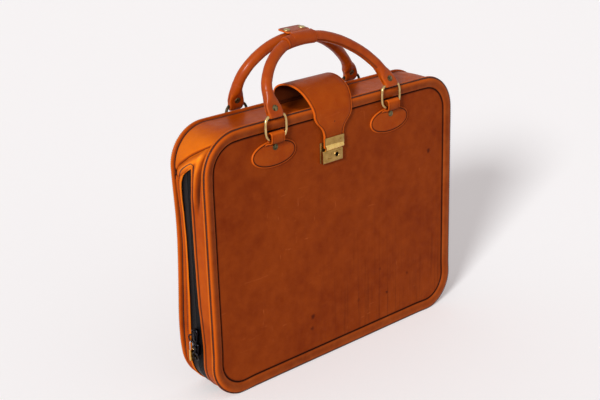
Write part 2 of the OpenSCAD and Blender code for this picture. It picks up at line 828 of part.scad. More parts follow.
module upper_pull_ring() { color("black") pull_ring(hang_y, upper_eye_z); }
module lower_pull_ring() { color("black") pull_ring(zip_y, lower_eye_z - pull_r); }

module padlock_shackle() {
    rise = shackle_h - shackle_wire / 2 - shackle_half;
    color("silver") translate([-shackle_x, hang_y, shackle_z]) rotate([90, 0, 0]) {
        arc_rod([0, 0], shackle_half, 0, 180, shackle_wire, 0);
        for (s = [-1, 1]) {
            leg = rise + (s > 0 ? short_leg : long_leg);
            translate([s * shackle_half, -leg, 0]) rotate([-90, 0, 0]) cylinder(h = leg, d = shackle_wire);
        }
    }
}

module padlock_body() {
    edge = 0.8;
    color("goldenrod") translate([-shackle_x, hang_y, padlock_top]) difference() {
        union() {
            translate([-lock_body_w / 2, -lock_body_t / 2 + edge, -lock_body_h])
                cube([lock_body_w, lock_body_t - 2 * edge, lock_body_h]);
            translate([-lock_body_w / 2 + edge, -lock_body_t / 2, -lock_body_h])
                cube([lock_body_w - 2 * edge, lock_body_t, lock_body_h]);
        }
        for (s = [-1, 1]) translate([s * shackle_half, 0, -long_leg - hole_spare])
            cylinder(h = lock_body_h, r = shackle_wire / 2 + 3 * key_gap);
    }
}

rear_panel();
rear_border();
rear_rim();
rear_board();
rear_lining();
top_gusset();
rear_side_gusset();
rear_zip_tape();
rear_zip_chain();
flap_anchor();
rear_left_chape();
rear_right_chape();
rear_chape_rivets();
front_panel();
front_border();
front_rim();
front_board();
front_lining();
front_side_gusset();
front_zip_tape();
front_zip_chain();
front_left_chape();
front_right_chape();
front_chape_rivets();
lock_case();
lock_cylinder();
flap_heel();
flap();
hasp_plate();
hasp_rivets();
front_left_ring();
front_right_ring();
front_grip();
front_grip_core();
front_handle_ends();
front_handle_rivets();
handle_sleeve();
handle_tab();
tab_snaps();
rear_left_ring();
rear_right_ring();
rear_grip();
rear_grip_core();
rear_handle_ends();
rear_handle_rivets();
upper_slider();
lower_slider();
upper_pull_ring();
lower_pull_ring();
padlock_shackle();
padlock_body();
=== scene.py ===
import bmesh
import bpy
import math
from mathutils.bvhtree import BVHTree
from mathutils import Matrix, Vector, noise


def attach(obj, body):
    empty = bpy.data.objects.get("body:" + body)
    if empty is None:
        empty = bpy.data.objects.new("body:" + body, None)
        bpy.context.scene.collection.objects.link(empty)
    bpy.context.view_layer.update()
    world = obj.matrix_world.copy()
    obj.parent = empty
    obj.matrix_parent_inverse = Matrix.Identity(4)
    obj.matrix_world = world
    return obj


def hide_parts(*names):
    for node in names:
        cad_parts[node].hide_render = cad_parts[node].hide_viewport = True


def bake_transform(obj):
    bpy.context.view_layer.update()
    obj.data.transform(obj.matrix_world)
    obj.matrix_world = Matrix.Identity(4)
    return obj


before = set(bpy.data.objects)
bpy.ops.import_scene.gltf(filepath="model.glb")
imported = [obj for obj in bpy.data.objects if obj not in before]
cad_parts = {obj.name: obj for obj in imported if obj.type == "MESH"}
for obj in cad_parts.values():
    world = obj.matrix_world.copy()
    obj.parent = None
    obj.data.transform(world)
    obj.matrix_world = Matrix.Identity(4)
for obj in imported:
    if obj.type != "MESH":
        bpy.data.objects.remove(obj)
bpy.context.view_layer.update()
mm = 0.001

# shapes are worked out in millimetres in the case's own frame, front at -Y and floor at z = 0
caseForm = {
    "halfWidth": 260,
    "height": 413,
    "halfDepth": 39,
    "corner": 60,
    "gusset": 2.5,         # how far the gusset lies inside the edge
    "fittingX": -10,       # handles, flap and lock stand left of the middle
    "stitch": 3.4,         # from one stitch to the next
}
fittingX = caseForm["fittingX"]
halfRun = caseForm["halfWidth"] - caseForm["corner"]
sideRun = caseForm["height"] - 2 * caseForm["corner"]
arcRun = caseForm["corner"] * math.pi / 2
wholeRun = 4 * halfRun + 2 * sideRun + 4 * arcRun
halves = (("front", -1, "front_half"), ("rear", 1, "back_half"))     # name, side, body


def smooth(a, b, t):
    t = min(1, max(0, (t - a) / (b - a)))
    return t * t * (3 - 2 * t)


def along(table, t):
    # reads a smooth value from a table of (place, value)
    if t <= table[0][0]:
        return table[0][1]
    for (a, va), (b, vb) in zip(table, table[1:]):
        if t <= b:
            return va + (vb - va) * smooth(a, b, t)
    return table[-1][1]


def straightAlong(table, t):
    if t <= table[0][0]:
        return table[0][1]
    for (a, va), (b, vb) in zip(table, table[1:]):
        if t <= b:
            return va + (vb - va) * (t - a) / (b - a)
    return table[-1][1]


def bell(t, middle, width):
    return math.exp(-((t - middle) / width) ** 2)


def drift(x, y, z, size):
    # slow unevenness of hand work, from -1 to 1
    return noise.noise(Vector((x, y, z)) / size)


def turns(count):
    # even steps round a full turn
    return [2 * math.pi * i / count for i in range(count)]


def squared(value, power):
    # bends a sine or cosine towards its ends, for rounded oblongs
    return math.copysign(abs(value) ** power, value)


# the case's outline, followed from the middle of the top down the left side and round
def onOutline(run, inset):
    run = run % wholeRun
    r = caseForm["corner"]
    w = caseForm["halfWidth"] - r
    top = caseForm["height"]
    parts = [
        (halfRun, "line", (0, top), (-1, 0)),
        (arcRun, "arc", (-w, top - r), 90),
        (sideRun, "line", (-w - r, top - r), (0, -1)),
        (arcRun, "arc", (-w, r), 180),
        (2 * halfRun, "line", (-w, 0), (1, 0)),
        (arcRun, "arc", (w, r), 270),
        (sideRun, "line", (w + r, r), (0, 1)),
        (arcRun, "arc", (w, top - r), 360),
        (halfRun, "line", (w, top), (-1, 0)),
    ]
    for length, kind, a, b in parts:
        if run <= length:
            if kind == "line":
                return a[0] + b[0] * run - b[1] * inset, a[1] + b[1] * run + b[0] * inset
            turn = math.radians(b) + run / r
            return a[0] + (r - inset) * math.cos(turn), a[1] + (r - inset) * math.sin(turn)
        run -= length
    return 0, top - inset


def runSteps(first, last, straight=9, bend=4.2):
    # fine steps in the corners and longer ones on the straight parts
    r = arcRun
    marks = [0, halfRun, halfRun + r, halfRun + r + sideRun, halfRun + 2 * r + sideRun]
    marks += [wholeRun - m for m in reversed(marks)]
    marks = [first] + [m for m in marks if first < m < last] + [last]
    arcs = (halfRun, halfRun + r + sideRun, wholeRun - halfRun - r, wholeRun - halfRun - 2 * r - sideRun)
    steps = []
    for a, b in zip(marks, marks[1:]):
        if b - a < 0.01:
            continue
        inArc = any(start <= (a + b) / 2 <= start + r for start in arcs)
        count = max(1, math.ceil((b - a) / (bend if inArc else straight)))
        steps += [a + (b - a) * i / count for i in range(count)]
    return steps + [last]


def runAtHeight(z):
    # the run at which the left side is at this height
    r = caseForm["corner"]
    top = caseForm["height"]
    if z > top - r:
        return halfRun + arcRun - r * math.asin((z - top + r) / r)
    if z < r:
        return halfRun + arcRun + sideRun + r * math.asin(min(1, (r - z) / r))
    return halfRun + arcRun + top - r - z


def heightAtRun(run):
    return onOutline(run, 0)[1]


# the soft case isn't quite square: its corners and its rear left edge have given way a little
settleForm = {
    "spread": 25, "reach": 95, "aim": 0.75,       # a corner gives way about its own slanting line
    "corners": [   # middle of the corner's arc, way out, push at each depth
        ((-200, 60), (-1, -1), [(-39, 2.8), (-34, 2.4), (-26, 3.4), (-8, 3.2), (18, 2.2), (30, -0.6),
                                 (35, -2.6), (39, -2.8)]),
        ((200, 60), (1, -1), [(-34, 2.6), (-20, 0.5), (39, 0.5)]),
        ((-200, 353), (-1, 1), [(-34, -2.2), (-15, -0.6), (39, -0.2)]),
        ((200, 353), (1, 1), [(-34, -1.0), (39, -1.0)]),
    ],
    # the rear left edge leans in and lower down out: by how much, at which height, over which span
    "leanIn": (2.3, 262, 72), "leanOut": (2.2, 100, 58),
    "leanDepths": (6, 33), "leanPlaces": (-120, -235),     # it starts and is whole at these
    "softFinishes": ("rim", "border", "panel", "rearPanel", "gusset", "thread", "tape"),
}


def settle(x, y, z):
    f = settleForm
    for (cx, cz), (ox, oz), pushes in f["corners"]:
        dx, dz = x - cx + ox * f["spread"], z - cz + oz * f["spread"]
        r = math.hypot(dx, dz)
        facing = (dx * ox + dz * oz) / r / math.sqrt(2) if r > 1 else 0
        if facing > f["aim"]:
            push = straightAlong(pushes, y) * smooth(f["aim"], 1, facing) * min(1, r / f["reach"])
            x, z = x + ox * push * 0.707, z + oz * push * 0.707
    share = smooth(*f["leanDepths"], y) * smooth(*f["leanPlaces"], x)
    (far, middle, span), (farOut, middleOut, spanOut) = f["leanIn"], f["leanOut"]
    lean = far * bell(z, middle, span) - farOut * bell(z, middleOut, spanOut)
    return x + lean * share, y - lean * share * 0.9, z


def curveThrough(marks, spacing):
    # a smooth curve through the marks, as places with their directions
    before = tuple(2 * a - b for a, b in zip(marks[0], marks[1]))
    after = tuple(2 * a - b for a, b in zip(marks[-1], marks[-2]))
    pads = [before] + list(marks) + [after]
    found = []
    for a, b, c, d in zip(pads, pads[1:], pads[2:], pads[3:]):
        count = max(1, round(math.dist(b, c) / spacing))
        for i in range(count):
            t = i / count
            place, way = [], []
            for p, q, r, u in zip(a, b, c, d):
                slope, bend, twist = r - p, 2 * p - 5 * q + 4 * r - u, 3 * q - p - 3 * r + u
                place.append(0.5 * (2 * q + slope * t + bend * t * t + twist * t ** 3))
                way.append(0.5 * (slope + 2 * bend * t + 3 * twist * t * t))
            found.append((tuple(place), tuple(Vector(way).normalized())))
    last = Vector([a - b for a, b in zip(marks[-1], marks[-2])]).normalized()
    return found + [(tuple(marks[-1]), tuple(last))]


# mesh helpers
def addMesh(name, points, faces, finish, body, tones=None, turn=True):
    mesh = bpy.data.meshes.new(name)
    if finish in settleForm["softFinishes"]:
        points = [settle(*p) for p in points]
    mesh.from_pydata([Vector(p) * mm for p in points], [], faces)
    if tones is not None:
        attribute = mesh.attributes.new("tone", "FLOAT", "POINT")
        attribute.data.foreach_set("value", tones)
    work = bmesh.new()
    work.from_mesh(mesh)
    bmesh.ops.remove_doubles(work, verts=work.verts, dist=1e-6)
    bmesh.ops.dissolve_degenerate(work, edges=work.edges, dist=1e-7)
    if turn:
        bmesh.ops.recalc_face_normals(work, faces=work.faces)
    work.to_mesh(mesh)
    work.free()
    mesh.shade_smooth()
    mesh.set_sharp_from_angle(angle=math.radians(42))
    piece = bpy.data.objects.new(name, mesh)
    bpy.context.scene.collection.objects.link(piece)
    material, slot = finishes[finish]
    mesh.materials.append(material)
    if body:
        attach(piece, body)
    return piece


def gridFaces(rows, columns, loopRows=False, loopColumns=False, start=0):
    faces = []
    for i in range(rows if loopRows else rows - 1):
        for j in range(columns if loopColumns else columns - 1):
            a = start + i * columns
            b = start + (i + 1) % rows * columns
            k = (j + 1) % columns
            faces.append((a + j, a + k, b + k, b + j))
    return faces


def addLoft(name, rows, finish, body, loopRows=False, tones=None):
    # rings of points joined into a closed skin
    columns = len(rows[0])
    points = [p for row in rows for p in row]
    faces = gridFaces(len(rows), columns, loopRows, True)
    if not loopRows:
        faces.append(tuple(range(columns)))
        faces.append(tuple(reversed(range(len(points) - columns, len(points)))))
    return addMesh(name, points, faces, finish, body, [t for row in tones for t in row] if tones else None)


def sweepOutline(name, profile, finish, body, side):
    # a closed section (inset, distance from the middle, tone) led round the outline
    rows, tones = [], []
    for run in runSteps(0, wholeRun)[:-1]:
        row = []
        (xo, zo), (xi, zi) = onOutline(run, 0), onOutline(run, 1)
        # the edges' light tones are strongest at the left and above, where the light falls: painted highlight
        wornAndLit = 0.35 + 1.1 * max(0, -0.9 * (xo - xi) + 0.45 * (zo - zi))
        for inset, depth, _ in profile:
            x, z = onOutline(run, inset)
            row.append((x, side * (depth + edgeWave(x, z, side)), z))
        rows.append(row)
        tones.append([p[2] * wornAndLit if p[2] > 0 else p[2] for p in profile])
    return addLoft(name, rows, finish, body, loopRows=True, tones=tones)


def edgeWave(x, z, side):
    # the rims' slow unevenness in depth, which their stitches follow
    return 0.12 * drift(x, side * 90, z, 55)


def addStitches(name, places, finish, body, form):
    # each place is a point, the direction of the seam and the way out of the leather
    points, faces = [], []
    for point, ahead, out in places:
        ahead = Vector(ahead).normalized()
        out = Vector(out).normalized()
        across = ahead.cross(out).normalized()
        ahead = (ahead + across * form["slant"]).normalized()
        across = out.cross(ahead).normalized()
        start = len(points)
        half, r = form["length"] / 2, form["thick"] / 2
        centre = Vector(point)
        points.append(centre - ahead * half)
        for end in (-0.55, 0.55):
            for k in range(6):
                a = math.pi * k / 3
                edge = (across * math.cos(a) + out * math.sin(a)) * r
                points.append(centre + ahead * half * end + edge)
        points.append(centre + ahead * half)
        for k in range(6):
            m = (k + 1) % 6
            faces.append((start, start + 1 + m, start + 1 + k))
            faces.append((start + 1 + k, start + 1 + m, start + 7 + m, start + 7 + k))
            faces.append((start + 7 + k, start + 7 + m, start + 13))
    return addMesh(name, points, faces, finish, body, turn=False)


def bevelEdges(piece, width, segments):
    work = bmesh.new()
    work.from_mesh(piece.data)
    edges = [e for e in work.edges if len(e.link_faces) == 2 and e.calc_face_angle(0) > math.radians(30)]
    bmesh.ops.bevel(work, geom=edges, offset=width * mm, segments=segments, profile=0.5, affect="EDGES",
                    clamp_overlap=True)
    work.to_mesh(piece.data)
    work.free()
    piece.data.shade_smooth()
    piece.data.set_sharp_from_angle(angle=math.radians(35))
    return piece


def addPrism(name, outline, x0, x1, finish, body, bevel, segments=3):
    # an outline in (y, z) carried from x0 to x1, with its edges rounded
    n = len(outline)
    points = [(x0, y, z) for y, z in outline] + [(x1, y, z) for y, z in outline]
    faces = [tuple(range(n)), tuple(reversed(range(n, 2 * n)))]
    faces += [(i, (i + 1) % n, n + (i + 1) % n, n + i) for i in range(n)]
    return bevelEdges(addMesh(name, points, faces, finish, body), bevel, segments)


# finishes: every material is made of noise, grain and the pieces' own tones, which carry worn edges, dark
# grooves, painted highlights and painted shade
def tint(r, g, b):
    # colours are written as they look on a screen
    def straight(c):
        c /= 255
        return c / 12.92 if c <= 0.04045 else ((c + 0.055) / 1.055) ** 2.4
    return straight(r), straight(g), straight(b), 1


def addNode(tree, kind, inputs=None, **settings):
    node = tree.nodes.new("ShaderNode" + kind)
    for key, value in settings.items():
        setattr(node, key, value)
    for key, value in (inputs or {}).items():
        if isinstance(value, bpy.types.NodeSocket):
            tree.links.new(value, node.inputs[key])
        else:
            node.inputs[key].default_value = value
    return node


def startMaterial(name):
    material = bpy.data.materials.new(name)
    material.use_nodes = True
    tree = material.node_tree
    return material, tree, tree.nodes["Principled BSDF"]


def objectPlace(tree, stretch=(1, 1, 1)):
    place = addNode(tree, "TexCoord").outputs["Object"]
    if stretch != (1, 1, 1):
        place = addNode(tree, "Mapping", {"Vector": place, "Scale": stretch}).outputs["Vector"]
    return place


def addNoise(tree, scale, detail=3, rough=0.55, stretch=(1, 1, 1), bent=0):
    return addNode(tree, "TexNoise", {"Vector": objectPlace(tree, stretch), "Scale": scale, "Detail": detail,
                                      "Roughness": rough, "Distortion": bent}).outputs["Fac"]


def addMath(tree, operation, a, b=0.5, clamp=False):
    return addNode(tree, "Math", {0: a, 1: b}, operation=operation, use_clamp=clamp).outputs[0]


def addRange(tree, value, low, high, outLow=0, outHigh=1):
    return addNode(tree, "MapRange", {"Value": value, "From Min": low, "From Max": high, "To Min": outLow,
                                      "To Max": outHigh}).outputs["Result"]


def addMix(tree, share, a, b):
    return addNode(tree, "Mix", {0: share, 6: a, 7: b}, data_type="RGBA").outputs[2]


def addBump(tree, height, distance, before=None):
    inputs = {"Height": height, "Distance": distance, "Strength": 1}
    if before:
        inputs["Normal"] = before
    return addNode(tree, "Bump", inputs).outputs["Normal"]


def makeLeather(name, look):
    material, tree, shader = startMaterial(name)
    cloud = addRange(tree, addNoise(tree, look["cloudScale"], 3, 0.5, bent=0.6), 0.32, 0.68)
    mottle = addRange(tree, addNoise(tree, look["mottleScale"], 4, 0.6), 0.3, 0.7)
    fine = addNoise(tree, look["fineScale"], 3, 0.6)
    colour = addMix(tree, cloud, tint(*look["deep"]), tint(*look["body"]))
    colour = addMix(tree, addMath(tree, "MULTIPLY", mottle, look["mottle"]), colour, tint(*look["light"]))
    pores = addNode(tree, "TexVoronoi", {"Vector": objectPlace(tree), "Scale": look["grainScale"]},
                    feature="DISTANCE_TO_EDGE").outputs["Distance"]
    pores = addRange(tree, pores, 0, 0.16)
    colour = addMix(tree, addMath(tree, "MULTIPLY", addMath(tree, "SUBTRACT", 1, pores), look["poreDark"]),
                    colour, tint(*look["crease"]))
    if "marks" in look:
        colour = addWear(tree, colour, look)
    tone = addNode(tree, "Attribute", attribute_name="tone", attribute_type="GEOMETRY").outputs["Fac"]
    # positive tones lean to the edge colour: worn edges and painted highlights
    wornAndLit = addMath(tree, "MULTIPLY", tone, addRange(tree, fine, 0.25, 0.7, 0.65, 1.0), clamp=True)
    colour = addMix(tree, wornAndLit, colour, tint(*look["edge"]))
    # negative tones lean to the crease colour: dyed edges, grooves and painted shade
    dyedAndShaded = addMath(tree, "MULTIPLY", tone, -1.0, clamp=True)
    colour = addMix(tree, dyedAndShaded, colour, tint(*look["crease"]))
    tree.links.new(colour, shader.inputs["Base Color"])
    rough = addRange(tree, addNoise(tree, look["mottleScale"] * 1.7, 3), 0.3, 0.7, *look["rough"])
    rough = addMath(tree, "ADD", rough, addMath(tree, "MULTIPLY", dyedAndShaded, 0.2), clamp=True)
    tree.links.new(rough, shader.inputs["Roughness"])
    bump = addBump(tree, pores, look["grainDepth"] * mm)
    bump = addBump(tree, fine, look["fineDepth"] * mm, bump)
    waves = addNoise(tree, look["waveScale"], 3, 0.5, bent=0.4)
    bump = addBump(tree, waves, look["waveDepth"] * mm, bump)
    tree.links.new(bump, shader.inputs["Normal"])
    shader.inputs["Coat Weight"].default_value = look["coat"]
    shader.inputs["Coat Roughness"].default_value = look["coatRough"]
    shader.inputs["Specular IOR Level"].default_value = look["shine"]
    return material


def addWear(tree, colour, look):
    # stains, vertical drips and light scratches of the front panel
    axes = addNode(tree, "SeparateXYZ", {0: objectPlace(tree)})
    flat = addNode(tree, "CombineXYZ", {"X": axes.outputs["X"], "Z": axes.outputs["Z"]}).outputs[0]
    wobble = addNoise(tree, 260, 2)
    for x, z, radius, share in look["marks"]:
        distance = addNode(tree, "VectorMath", {0: flat, 1: (x * mm, 0, z * mm)},
                           operation="DISTANCE").outputs["Value"]
        distance = addMath(tree, "ADD", distance, addRange(tree, wobble, 0.3, 0.7, -1.2 * mm, 1.2 * mm))
        spot = addRange(tree, distance, radius * mm, radius * 0.35 * mm, 0, share)
        colour = addMix(tree, spot, colour, tint(*look["stain"]))
    drips = addRange(tree, addNoise(tree, 1, 4, 0.6, (210, 1, 7)), 0.5, 0.72)
    low = addRange(tree, axes.outputs["Z"], 0.25, 0.06)
    right = addRange(tree, axes.outputs["X"], -0.08, 0.06)
    drips = addMath(tree, "MULTIPLY", addMath(tree, "MULTIPLY", drips, low), right)
    colour = addMix(tree, addMath(tree, "MULTIPLY", drips, look["drip"]), colour, tint(*look["stain"]))
    scratch = addRange(tree, addNoise(tree, 1, 2, 0.4, (30, 1, 330), 1.2), 0.70, 0.76)
    scratchB = addRange(tree, addNoise(tree, 1, 2, 0.4, (300, 1, 36), 1.5), 0.71, 0.77)
    patch = addRange(tree, addNoise(tree, 14, 2), 0.5, 0.62)
    scratch = addMath(tree, "MULTIPLY", addMath(tree, "MAXIMUM", scratch, scratchB), patch)
    return addMix(tree, addMath(tree, "MULTIPLY", scratch, look["scratch"]), colour, tint(*look["scuff"]))


def makeMetal(name, look):
    material, tree, shader = startMaterial(name)
    cloud = addRange(tree, addNoise(tree, look["cloudScale"], 4, 0.65), 0.3, 0.7)
    colour = addMix(tree, cloud, tint(*look["body"]), tint(*look["light"]))
    dirt = addNoise(tree, look["dirtScale"], 4, 0.7, bent=0.8)
    dirt = addRange(tree, dirt, look["dirtFrom"], look["dirtFrom"] + 0.14)
    colour = addMix(tree, dirt, colour, tint(*look["dirt"]))
    tree.links.new(colour, shader.inputs["Base Color"])
    shader.inputs["Metallic"].default_value = 1
    rough = addRange(tree, addNoise(tree, look["cloudScale"] * 3, 3), 0.3, 0.7, *look["rough"])
    tree.links.new(addMath(tree, "ADD", rough, addMath(tree, "MULTIPLY", dirt, 0.25), clamp=True),
                   shader.inputs["Roughness"])
    lines = addNoise(tree, 1, 2, 0.5, look["brush"])
    bump = addBump(tree, lines, look["brushDepth"] * mm)
    bump = addBump(tree, addNoise(tree, look["fineScale"], 3), look["fineDepth"] * mm, bump)
    tree.links.new(bump, shader.inputs["Normal"])
    return material


def makeCloth(name, look):
    # threads of a plain weave, from two crossed waves
    material, tree, shader = startMaterial(name)
    wave = {"Vector": objectPlace(tree), "Scale": look["threads"], "Distortion": 0.6, "Detail": 1,
            "Detail Scale": 3}
    warp, weft = [addNode(tree, "TexWave", wave, bands_direction=axis).outputs["Fac"]
                  for axis in look["axes"]]
    weave = addMath(tree, "MULTIPLY", warp, weft)
    cloud = addRange(tree, addNoise(tree, 30, 3), 0.3, 0.7)
    colour = addMix(tree, cloud, tint(*look["deep"]), tint(*look["body"]))
    colour = addMix(tree, addMath(tree, "MULTIPLY", weave, 0.5), colour, tint(*look["light"]))
    tree.links.new(colour, shader.inputs["Base Color"])
    tree.links.new(addBump(tree, weave, look["depth"] * mm), shader.inputs["Normal"])
    shader.inputs["Roughness"].default_value = look["rough"]
    shader.inputs["Sheen Weight"].default_value = look["sheen"]
    shader.inputs["Sheen Roughness"].default_value = 0.4
    shader.inputs["Specular IOR Level"].default_value = look["shine"]
    return material


# looks: colours as seen on a screen, scales per metre, depths in millimetres
hide = {
    "cloudScale": 14, "mottleScale": 60, "mottle": 0.4,
    "grainScale": 750, "grainDepth": 0.05, "poreDark": 0.12, "fineScale": 900, "fineDepth": 0.06,
    "waveScale": 60, "waveDepth": 0.45,
    "rough": (0.36, 0.52), "coat": 0.02, "coatRough": 0.25, "shine": 0.03,
    "deep": (122, 46, 8), "body": (144, 57, 10), "light": (160, 72, 20), "crease": (36, 12, 7),
    "edge": (210, 100, 24),
}
panelLook = {
    "deep": (116, 41, 7), "body": (134, 54, 11), "light": (152, 67, 19), "mottle": 0.45,
    "rough": (0.42, 0.58), "coat": 0,
}
gussetLook = {
    "deep": (146, 54, 4), "body": (170, 70, 5), "light": (194, 92, 12), "mottle": 0.35, "coat": 0.06,
    "coatRough": 0.2, "rough": (0.34, 0.48), "edge": (240, 130, 24), "crease": (50, 16, 6), "shine": 0.025,
}
strapLook = {
    "deep": (138, 51, 6), "body": (158, 64, 8), "light": (174, 82, 18), "coat": 0.04, "coatRough": 0.24,
    "rough": (0.34, 0.46), "edge": (214, 98, 20),
}
gripLook = {
    "deep": (136, 48, 5), "body": (160, 62, 8), "light": (178, 82, 16), "coat": 0.13, "coatRough": 0.2,
    "rough": (0.28, 0.38), "crease": (54, 18, 8), "shine": 0.06,
}
leathers = {   # finish: material, slot, what differs from plain hide
    "panel": ("panelLeather", "panel_leather", panelLook | {
        "stain": (54, 16, 8), "scuff": (178, 92, 46), "drip": 0.4, "scratch": 0.6,
        # worn marks: along the case, height, radius, strength
        "marks": [(-61, 75, 5.5, 0.7), (-63, 55, 4.5, 0.55), (206, 287, 5, 0.7), (106, 63, 3.6, 0.7),
                  (155, 83, 4, 0.45), (40, 70, 4, 0.3), (90, 110, 3, 0.4)]}),
    "rearPanel": ("rearPanelLeather", "panel_leather", panelLook),
    "border": ("borderLeather", "border_leather", {
        "deep": (112, 42, 8), "body": (136, 56, 12), "light": (148, 74, 30), "mottle": 0.6,
        "edge": (206, 92, 16), "rough": (0.36, 0.5), "coat": 0.03}),
    "rim": ("rimLeather", "rim_leather", gussetLook | {"deep": (144, 52, 5), "body": (166, 64, 7)}),
    "gusset": ("gussetLeather", "gusset_leather", gussetLook),
    "strap": ("strapLeather", "strap_leather", strapLook),
    "flap": ("flapLeather", "strap_leather", strapLook | {
        "stain": (46, 34, 26), "scuff": (196, 98, 44), "drip": 0, "scratch": 0.35,
        "marks": [(-11.5, 385.2, 2.6, 0.75)]}),
    # a darker copy of the strap leather for the strip under the flap's root: painted shade
    "shadedStrap": ("darkStrapLeather", "strap_leather", strapLook | {
        "deep": (48, 17, 7), "body": (66, 24, 8), "light": (84, 32, 12)}),
    "grip": ("gripLeather", "grip_leather", gripLook),
    "sleeve": ("sleeveLeather", "sleeve_leather", gripLook | {
        "deep": (134, 48, 4), "body": (156, 60, 6), "light": (172, 76, 14), "coat": 0.07}),
}
wornBrass = {
    "body": (150, 116, 62), "light": (182, 146, 84), "dirt": (66, 48, 28),
    "cloudScale": 120, "dirtScale": 300, "dirtFrom": 0.56,
    "rough": (0.24, 0.4), "brush": (900, 900, 40), "brushDepth": 0.02, "fineScale": 700, "fineDepth": 0.03,
}
metals = {   # finish: material, slot, what differs from worn brass
    "brass": ("wornBrass", "brass", {}),
    "brightBrass": ("lockBrass", "brass", {"dirtFrom": 0.62, "rough": (0.26, 0.4), "brush": (40, 900, 900)}),
    "ring": ("ringBrass", "brass", {
        "body": (176, 142, 88), "light": (214, 184, 126), "dirtFrom": 0.6, "rough": (0.16, 0.3)}),
    "antique": ("antiqueBrass", "antique_brass", {
        "body": (92, 84, 58), "light": (132, 118, 82), "dirt": (44, 36, 24), "dirtFrom": 0.46,
        "rough": (0.32, 0.5)}),
    "snap": ("snapBrass", "antique_brass", {
        "body": (150, 130, 88), "light": (196, 178, 130), "dirt": (60, 52, 36), "dirtFrom": 0.52,
        "rough": (0.26, 0.42)}),
    "steel": ("shackleSteel", "steel", {
        "body": (186, 188, 192), "light": (214, 216, 220), "dirt": (110, 108, 104), "dirtFrom": 0.72,
        "rough": (0.14, 0.26)}),
    # a lighter copy of the brass for the hasp's rolled lip: painted highlight
    "lipBrass": ("lipBrass", "brass", {
        "body": (206, 162, 84), "light": (238, 204, 128), "dirtFrom": 0.66, "rough": (0.2, 0.34),
        "brush": (40, 900, 900)}),
    # a darker copy of the ring brass for the rear rings: painted shade
    "darkRing": ("darkRing", "brass", {
        "body": (44, 36, 28), "light": (84, 68, 44), "dirt": (22, 18, 14), "rough": (0.34, 0.5)}),
    # near black for the key slot: painted shade in place of the hole
    "slotShade": ("keyholeDark", "brass", {
        "body": (28, 22, 16), "light": (44, 34, 24), "dirt": (14, 10, 8), "rough": (0.5, 0.7)}),
    "zipMetal": ("zipBlack", "zip_metal", {
        "body": (24, 23, 26), "light": (42, 41, 46), "dirt": (12, 11, 13), "rough": (0.18, 0.32)}),
    "padlockBrass": ("padlockBrass", "brass", {
        "body": (214, 164, 82), "light": (246, 208, 130), "dirt": (120, 84, 40), "dirtFrom": 0.66,
        "rough": (0.2, 0.34)}),
}
plainCloth = {"axes": ("X", "Z"), "depth": 0.2, "rough": 0.9, "sheen": 0, "shine": 0.3, "threads": 300}
cloths = {   # finish: material, slot, what differs from plain cloth
    "tape": ("zipTape", "zip_tape", {
        "deep": (3, 3, 4), "body": (5, 5, 7), "light": (11, 11, 14), "threads": 420, "axes": ("Y", "Z"),
        "depth": 0.1, "rough": 0.42, "sheen": 0.02, "shine": 0.08}),
    "lining": ("liningCloth", "lining", {
        "deep": (150, 122, 88), "body": (168, 140, 104), "light": (196, 172, 138), "rough": 0.85,
        "sheen": 0.3}),
    "board": ("fibreBoard", "board", {
        "deep": (120, 92, 62), "body": (138, 108, 74), "light": (160, 130, 94), "threads": 90, "depth": 0.1}),
    "thread": ("darkThread", "border_leather", {
        "deep": (26, 12, 8), "body": (38, 18, 12), "light": (62, 32, 22), "threads": 900, "depth": 0.05,
        "rough": 0.6, "sheen": 0.2}),
    "cord": ("cottonCord", "cord", {
        "deep": (150, 132, 104), "body": (176, 158, 128), "light": (206, 192, 164), "axes": ("X", "Y"),
        "sheen": 0.2}),
}
finishes = {}
for table, makeOne, base in ((leathers, makeLeather, hide), (metals, makeMetal, wornBrass),
                             (cloths, makeCloth, plainCloth)):
    for finish, (name, slot, look) in table.items():
        finishes[finish] = (makeOne(name, base | look), slot)
print("finishes made")

# rims: the leather bead round each half, and the wide border inside it
rimForm = {
    "beadProfile": [   # inset, distance from the middle, tone
        (2.4, 37.0, -0.5), (1.2, 37.1, -0.15), (0.4, 37.3, -0.1), (-0.1, 37.5, -0.05), (-0.45, 37.3, 0.1),
        (-0.7, 36.6, 0.3), (-0.75, 35.6, 0.25), (-0.6, 34.6, 0.1), (-0.1, 33.7, 0), (0.7, 33.1, -0.1),
        (1.6, 32.8, -0.2), (2.6, 32.5, -0.4), (4.0, 32.9, 0), (4.0, 36.4, 0)],
    "borderProfile": [
        (3.4, 36.6, -0.6), (2.2, 37.3, -0.25), (1.75, 38.0, -0.15), (1.8, 38.6, -0.1), (2.3, 39.15, 0.5),
        (3.2, 39.7, 0.7), (4.6, 40.15, 0.6), (6.2, 40.35, 0.35), (8.5, 40.35, 0.05), (11.5, 40.1, -0.05),
        (13.6, 39.6, 0.05), (15.2, 39.0, 0.3), (16.3, 38.3, 0.4), (16.9, 37.7, -0.3), (17.3, 37.1, -1),
        (17.5, 36.4, -1), (12.0, 36.4, 0)],
    "seamInset": 0.8,
    "seamDepth": 38.35,
}


def addRims():
    count = round(wholeRun / caseForm["stitch"])
    for half, side, body in halves:
        rim = sweepOutline(half + "_bead", rimForm["beadProfile"], "rim", body, side)
        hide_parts(half + "_rim")
        border = sweepOutline(half + "_border_leather", rimForm["borderProfile"], "border", body, side)
        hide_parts(half + "_border")
        places = []
        for i in range(count):
            run = wholeRun * i / count
            x, z = onOutline(run, rimForm["seamInset"])
            xb, zb = onOutline(run + 1, rimForm["seamInset"])
            xo, zo = onOutline(run, rimForm["seamInset"] - 1)
            depth = rimForm["seamDepth"] + edgeWave(x, z, side)
            places.append(((x, side * depth, z), (xb - x, 0, zb - z), (xo - x, side, zo - z)))
        addStitches(half + "_seam_stitches", places, "thread", body,
                    {"length": 2.3, "thick": 1.9, "slant": 0.35 * side})
